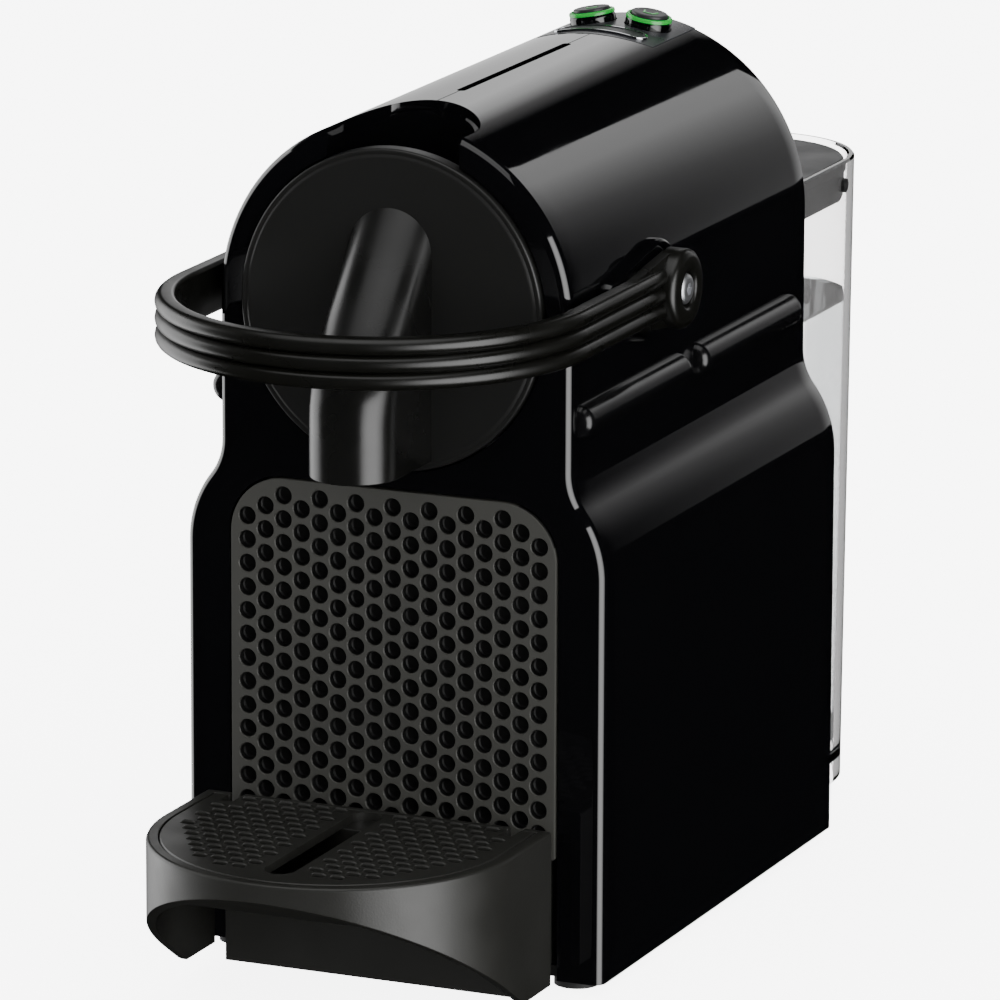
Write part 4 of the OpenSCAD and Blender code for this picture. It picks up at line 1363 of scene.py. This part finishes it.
@dataclass
class DripUnit:
    """The honeycomb front, the folding drip tray and its grid."""

    panel_half: float = 46.0
    panel_top: float = 129.0
    panel_corner: float = 15.0
    panel_y: float = -0.5
    panel_low: float = 35.9
    cell_d: float = 4.8
    cell_x: float = 5.15
    cell_z: float = 6.35
    tray_r: float = 49.0
    tray_cy: float = -34.5
    tray_rear: float = -9.6
    tray_top: float = 46.0
    tray_low: float = 4.5
    slope: float = 0.64
    lip: float = 5.0
    grid_inset: float = 3.2
    ear_in: float = 37.6
    ear_out: float = 41.4
    ear_front: float = -17.8
    slot_r: float = 4.2
    slot_front: float = -69.0

    def cells(self) -> Plan:
        """Lists the centres of the honeycomb's dimples, inside the panel's round corners."""
        found: Plan = []
        keep = self.panel_corner - self.cell_d / 2 - 1
        edge_x, edge_z = self.panel_half - self.panel_corner, self.panel_top - self.panel_corner
        for i in range(-8, 9):
            for k in range(16):
                x = i * self.cell_x
                z = self.panel_top - 4.5 - k * self.cell_z - (i % 2) * self.cell_z / 2
                dx, dz = abs(x) - edge_x, z - edge_z
                if dx > 0 and dz > 0 and math.hypot(dx, dz) > keep:
                    continue
                if self.panel_low + 3 < z < self.panel_top - 3.7:
                    found.append((x, z))
        return found

    def honeycomb(self) -> bpy.types.Object:
        """Makes the front panel with all its dimples."""
        plan = arch(self.panel_half, self.panel_low, self.panel_top, self.panel_corner)
        rows = [
            [spot(x * (1 - 0.012 * s), self.panel_y + d, z - 0.5 * s) for x, z in plan]
            for s, d in ((1.0, 0.0), (0.3, 0.18), (0.0, 0.6), (0.0, 3.5))
        ]
        panel = Bench.loft("honeycomb", rows)
        rim, deep = self.cell_d / 2, self.panel_y + 2.7
        first = Bench.turned(
            "cells",
            [(rim + 0.3, self.panel_y - 1), (rim + 0.15, self.panel_y + 0.05),
             (rim - 0.05, self.panel_y + 0.3), (rim - 0.1, deep - 0.3), (rim - 0.5, deep)],
            spot(0, 0, 0), Vector((0, 1, 0)), 20,
        )
        tools = [
            Bench.copied(first, "cell", Vector((x * MM, 0, z * MM))) for x, z in self.cells()
        ]
        bpy.data.objects.remove(first)
        Bench.combine(panel, Bench.join("cells", tools))
        return panel

    def tray_plan(self, inset: float, rear: float, z: float) -> Loop:
        """Gives the tray's plan: a round front and straight sides.

        Args:
            inset: How far inside the skirt it runs.
            rear: Where it ends at the back.
            z: Its height.

        Returns:
            The loop in metres.
        """
        r = self.tray_r - inset
        points = arc(0, self.tray_cy, r, 180, 360, 72) + [(r, rear), (-r, rear)]
        return [spot(x, y, z) for x, y in points]

    def wedge(self, lift: float, low: float) -> bpy.types.Object:
        """Makes the slanted block that cuts an underside.

        Args:
            lift: How far above the skirt's own slant it cuts.
            low: The height below which nothing more is cut.

        Returns:
            The block.
        """
        front = self.tray_cy - self.tray_r
        start = self.tray_top - self.lip + lift
        run = front + (start - low) / self.slope
        plan = [
            (front - 2, -5.0), (front - 2, start + 2 * self.slope), (run, low), (run, -5.0),
        ]
        return Bench.prism("wedge", plan, -80, 80, "x")

    def tray(self) -> bpy.types.Object:
        """Makes the tray with its skirt, bowl and seat for the grid."""
        levels = [(self.tray_low, 0.5), (self.tray_low + 0.5, 0.0), (self.tray_top - 1.0, 0.0),
                  (self.tray_top - 0.3, 0.3), (self.tray_top, 1.0)]
        skirt = Bench.loft(
            "tray", [self.tray_plan(i, self.tray_rear, z) for z, i in levels]
        )
        hollow = [self.tray_plan(2.5, 9, z) for z in (-1.0, self.tray_top - 4)]
        Bench.combine(skirt, Bench.loft("hollow", hollow))
        Bench.combine(skirt, self.wedge(0, self.tray_low))
        bowl = Bench.loft(
            "bowl", [self.tray_plan(5, -20.4, z) for z in (34.0, self.tray_top - 3)]
        )
        Bench.combine(bowl, self.wedge(1.4, 34.0))
        Bench.combine(skirt, bowl, "UNION")
        inner = Bench.loft("inner", [self.tray_plan(6.6, -22.0, z) for z in (35.6, 50)])
        Bench.combine(inner, self.wedge(3.4, 35.6))
        Bench.combine(skirt, inner)
        rear = self.tray_rear - 2.0
        seat = Bench.loft(
            "seat",
            [self.tray_plan(self.grid_inset, rear, z) for z in (self.tray_top - 2.2, 60.0)],
        )
        Bench.combine(skirt, seat)
        self.notch_ears(skirt)
        return skirt

    def notch_ears(self, piece: bpy.types.Object) -> None:
        """Cuts the two rear notches that leave room for the hinge's ears."""
        notch = [(self.ear_front, 5.0), (self.ear_front, 60.0), (0.0, 60.0), (0.0, 5.0)]
        for side in (1, -1):
            Bench.combine(piece, Bench.slab("notch", notch, side, self.ear_in, self.ear_out))

    def drains(self) -> Plan:
        """Lists the drain slots' centres, in staggered rows clear of the hinge's ears."""
        found: Plan = []
        across, along, rim = 5.2, 4.3, 8.2
        for row in range(16):
            for i in range(9):
                x = 2 * self.slot_r + (i + (row % 2) / 2) * across
                y = self.tray_rear - across - row * along
                if math.hypot(x, min(0.0, y - self.tray_cy)) > self.tray_r - rim:
                    continue
                if x > self.ear_in - 2.6 and y > self.ear_front - 2.7:
                    continue
                found += [(x, y), (-x, y)]
        return found

    def louvre(self) -> bpy.types.Object:
        """Makes the raised lip that stands behind a drain slot."""
        top = self.tray_top
        loops = []
        for x, k in ((-2.0, 0.25), (-1.7, 0.7), (-1.0, 1.0), (1.0, 1.0), (1.7, 0.7), (2.0, 0.25)):
            section = [(0.75, -0.3), (0.75, 0.25 * k), (1.0, 0.62 * k), (1.35, 0.55 * k),
                       (2.1, 0.1 * k), (2.1, -0.3)]
            loops.append([spot(x, y, top + z) for y, z in section])
        return Bench.loft("louvre", loops)

    def grid(self) -> bpy.types.Object:
        """Makes the grid with its long middle slot and rows of louvred drain slots."""
        rear = self.tray_rear - 2.3
        inset = self.grid_inset + 0.3
        top = self.tray_top
        levels = [(top - 2.2, inset), (top - 0.35, inset), (top, inset + 0.35)]
        grid = Bench.loft("grid", [self.tray_plan(i, rear, z) for z, i in levels])
        line = long_slot(self.slot_front, rear - 4.8, self.slot_r, 12)
        Bench.combine(grid, Bench.prism("line", line, 30, 60))
        slot = Bench.prism(
            "drain", arc(1.2, 0, 0.8, -90, 90, 4) + arc(-1.2, 0, 0.8, 90, 270, 4), top - 1.7, 60
        )
        louvre = self.louvre()
        places = [Vector((x * MM, y * MM, 0)) for x, y in self.drains()]
        Bench.combine(grid, Bench.join("drains", [Bench.copied(slot, "drain", p) for p in places]))
        self.notch_ears(grid)
        Bench.soften(grid, 0.2)
        lips = Bench.join("lips", [Bench.copied(louvre, "lip", p) for p in places])
        for spare in (slot, louvre):
            bpy.data.objects.remove(spare)
        return Bench.shade(Bench.join("drip_grid_top", [grid, lips]), 40)

    def build(self) -> None:
        """Builds the honeycomb front, the tray and its grid."""
        honeycomb = Bench.shade(self.honeycomb(), 35)
        fit(honeycomb, "drip_unit", "honeycomb", "honeycomb_front")
        # the wells, coloured near-black as painted shade, are every face behind the rounded rim and
        # ahead of the panel's back
        deep = spot(0, self.panel_y + 0.31, 0).y
        behind = spot(0, self.panel_y + 3.2, 0).y
        inside = Vector((self.panel_half - 0.6, self.panel_top - 0.6)) * MM
        # painted shade: the dimples' inner faces get a near-black colour
        FINISHES.dress_where(
            honeycomb, Finishes.WELL_SHADE,
            lambda m: deep < m.y < behind and abs(m.x) < inside.x and m.z < inside.y,
        )
        fit(Bench.soften(self.tray(), 0.4), "tray", "tray_black", "drip_tray")
        fit(self.grid(), "tray", "tray_black", "drip_grid")


# ---------- carried-over pieces ----------


@dataclass
class InnerWorks:
    """The pieces that keep the frame's own shapes and take a real finish here."""

    slots: dict[str, str] = field(
        default_factory=lambda: {
            s["node"]: s["material_slot"] for s in frame["record"]["subparts"]
        }
    )

    special: dict[str, Finish] = field(
        default_factory=lambda: {"capsule_chute": Finishes.COVER}
    )

    def build(self) -> None:
        """Gives every shown node the finish of its slot."""
        for name, node in frame["nodes"].items():
            if node.hide_render:
                continue
            FINISHES.dress(node, self.special.get(name, Finishes.SLOTS[self.slots[name]]))
            LOG.info("%s: keeps its own shape", name)


# ---------- stage ----------


@dataclass
class Studio:
    """Pale floor, soft lamps and the camera.

    Angles are in degrees, distance and target in mm, and lens is the focal length as a share of
    the sensor's width.
    """

    azimuth: float = 23.4376
    elevation: float = 13.9002
    roll: float = 0.21076
    distance: float = 2230.336
    lens: float = 8.378866
    target: tuple[float, float, float] = (-3.939, 78.4, 108.284)
    shown: float = 2.3
    bounced: float = 0.9
    floor_glow: float = 6.0

    def floor(self) -> None:
        """Lays the floor, which gloss surfaces don't mirror."""
        Bench.clear()
        bpy.ops.mesh.primitive_plane_add(size=12)
        floor = bpy.context.object
        floor.name = "floor"
        Bench.clear()
        material = bpy.data.materials.new("floor_pale_paper")
        material.use_nodes = True
        shader = material.node_tree.nodes["Principled BSDF"]
        shader.inputs["Base Color"].default_value = linear("#f6f6f6")
        shader.inputs["Roughness"].default_value = 0.9
        shader.inputs["Emission Color"].default_value = (1, 1, 1, 1)
        shader.inputs["Emission Strength"].default_value = self.floor_glow
        # once a ray has bounced, the floor is only as bright as a sheet of paper
        tree = material.node_tree
        path = add_node(tree, "ShaderNodeLightPath")
        bounced = add_node(
            tree, "ShaderNodeMath",
            {0: path.outputs["Glossy Depth"], 1: path.outputs["Diffuse Depth"]},
            operation="ADD", use_clamp=True,
        )
        dim = add_node(tree, "ShaderNodeEmission", {"Strength": self.bounced})
        mixed = add_node(tree, "ShaderNodeMixShader", {"Fac": bounced.outputs["Value"]})
        tree.links.new(shader.outputs["BSDF"], mixed.inputs[1])
        tree.links.new(dim.outputs["Emission"], mixed.inputs[2])
        tree.links.new(mixed.outputs["Shader"], tree.nodes["Material Output"].inputs["Surface"])
        floor.data.materials.append(material)
        floor.visible_glossy = False
        floor.visible_diffuse = False

    def card(
        self, name: str, corners: list[tuple[float, float, float]], ramp: list[tuple[float, float]]
    ) -> None:
        """Hangs a glowing card whose light fades across its width.

        Args:
            name: Name of the card.
            corners: Its four corners in metres, the first two along its low edge.
            ramp: Pairs of place across, 0 to 1, and brightness.
        """
        Bench.clear()
        bpy.ops.mesh.primitive_plane_add()
        card = bpy.context.object
        card.name = name
        for v, place in zip(card.data.vertices, (corners[0], corners[1], corners[3], corners[2])):
            v.co = place
        Bench.clear()
        material = bpy.data.materials.new(name + "_light")
        material.use_nodes = True
        tree = material.node_tree
        tree.nodes.clear()
        across = add_node(tree, "ShaderNodeUVMap", uv_map=card.data.uv_layers[0].name)
        part = add_node(tree, "ShaderNodeSeparateXYZ", {"Vector": across.outputs["UV"]})
        curve = add_node(tree, "ShaderNodeFloatCurve", {"Value": part.outputs["X"]})
        points = curve.mapping.curves[0].points
        peak = max(b for _, b in ramp)
        while len(points) < len(ramp):
            points.new(0.5, 0.5)
        for point, (place, bright) in zip(points, ramp):
            point.location = (place, bright / peak)
            point.handle_type = "VECTOR"
        curve.mapping.update()
        strength = add_node(
            tree,
            "ShaderNodeMath",
            {0: curve.outputs["Value"], 1: peak},
            operation="MULTIPLY",
        )
        glow = add_node(
            tree, "ShaderNodeEmission", {"Strength": strength.outputs["Value"]}
        )
        add_node(tree, "ShaderNodeOutputMaterial", {"Surface": glow.outputs["Emission"]})
        card.data.materials.append(material)
        card.visible_camera = False
        card.visible_shadow = False
        card.visible_transmission = False

    def lights(self) -> None:
        """Hangs the cards and lights the room."""
        world = bpy.data.worlds.new("studio")
        bpy.context.scene.world = world
        world.use_nodes = True
        world.node_tree.nodes["Background"].inputs["Color"].default_value = (1, 1, 1, 1)
        path = add_node(world.node_tree, "ShaderNodeLightPath")
        mirrored = add_node(
            world.node_tree, "ShaderNodeMath", {0: path.outputs["Glossy Depth"], 1: 1.0},
            operation="MINIMUM",
        )
        shown = add_node(
            world.node_tree, "ShaderNodeMapRange",
            {
                "Value": mirrored.outputs["Value"],
                "To Min": self.shown, "To Max": self.bounced,
            },
        )
        world.node_tree.links.new(
            shown.outputs["Result"], world.node_tree.nodes["Background"].inputs["Strength"]
        )
        world.cycles_visibility.glossy = False
        # behind, on the left: the wide bright field along the top
        self.card(
            "card_back_left",
            [(-1.3, 2.0, -0.9), (-0.2, 2.0, -0.9), (-0.2, 2.0, 1.35), (-1.3, 2.0, 1.35)],
            [(0.0, 0.3), (0.3, 1.0), (0.55, 1.6), (0.7, 1.2), (0.85, 0.3), (1.0, 0.0)],
        )
        # behind, on the right: the sharp-edged band down the barrel's side
        self.card(
            "card_back_right",
            [(0.3, 2.0, 0.0), (1.1, 2.0, 0.0), (1.1, 2.0, 1.35), (0.3, 2.0, 1.35)],
            [(0.0, 1.3), (0.3, 1.25), (0.5, 0.8), (0.7, 0.35), (0.9, 0.1), (1.0, 0.0)],
        )
        # low on the right and left: the light line down each front edge
        self.card(
            "card_right",
            [(1.4, -1.9, -0.9), (1.4, 0.1, -0.9), (1.4, 0.1, 0.9), (1.4, -1.9, 0.9)],
            [(0.0, 2.0), (0.4, 6.0), (0.75, 6.0), (1.0, 2.0)],
        )
        self.card(
            "card_left",
            [(-1.4, 1.2, -0.9), (-1.4, -0.4, -0.9), (-1.4, -0.4, 0.9), (-1.4, 1.2, 0.9)],
            [(0.0, 1.0), (0.5, 3.0), (1.0, 3.0)],
        )
        # overhead: the soft field that models the satin pieces
        self.card(
            "card_top",
            [(-0.9, -1.1, 1.5), (0.9, -1.1, 1.5), (0.9, 0.3, 1.7), (-0.9, 0.3, 1.7)],
            [(0.0, 0.8), (0.5, 1.6), (1.0, 1.2)],
        )

    def camera(self) -> None:
        """Sets the camera at the viewing angle."""
        a, e, r = (math.radians(v) for v in (self.azimuth, self.elevation, self.roll))
        back = Vector((math.sin(a) * math.cos(e), -math.cos(a) * math.cos(e), math.sin(e)))
        level = Vector((math.cos(a), math.sin(a), 0.0))
        raised = back.cross(level)
        right = level * math.cos(r) + raised * math.sin(r)
        up = raised * math.cos(r) - level * math.sin(r)
        data = bpy.data.cameras.new("camera")
        data.sensor_width = 36.0
        data.lens = self.lens * data.sensor_width
        data.clip_end = 50
        camera = bpy.data.objects.new("camera", data)
        bpy.context.scene.collection.objects.link(camera)
        turn = Matrix((right, up, back)).transposed().to_4x4()
        place = spot(*self.target) + back * self.distance * MM
        camera.matrix_world = Matrix.Translation(place) @ turn
        bpy.context.scene.camera = camera

    def build(self) -> None:
        """Builds the whole stage."""
        self.floor()
        self.lights()
        self.camera()


def main() -> None:
    """Builds the machine and its stage."""
    logging.basicConfig(level=logging.INFO, format="%(name)s %(message)s")
    for part in (Housing(), BrewHead(), Lever(), Controls(), WaterTank(), DripUnit(), InnerWorks()):
        LOG.info("building %s", type(part).__name__)
        part.build()
    Studio().build()


if __name__ == "__main__":
    main()
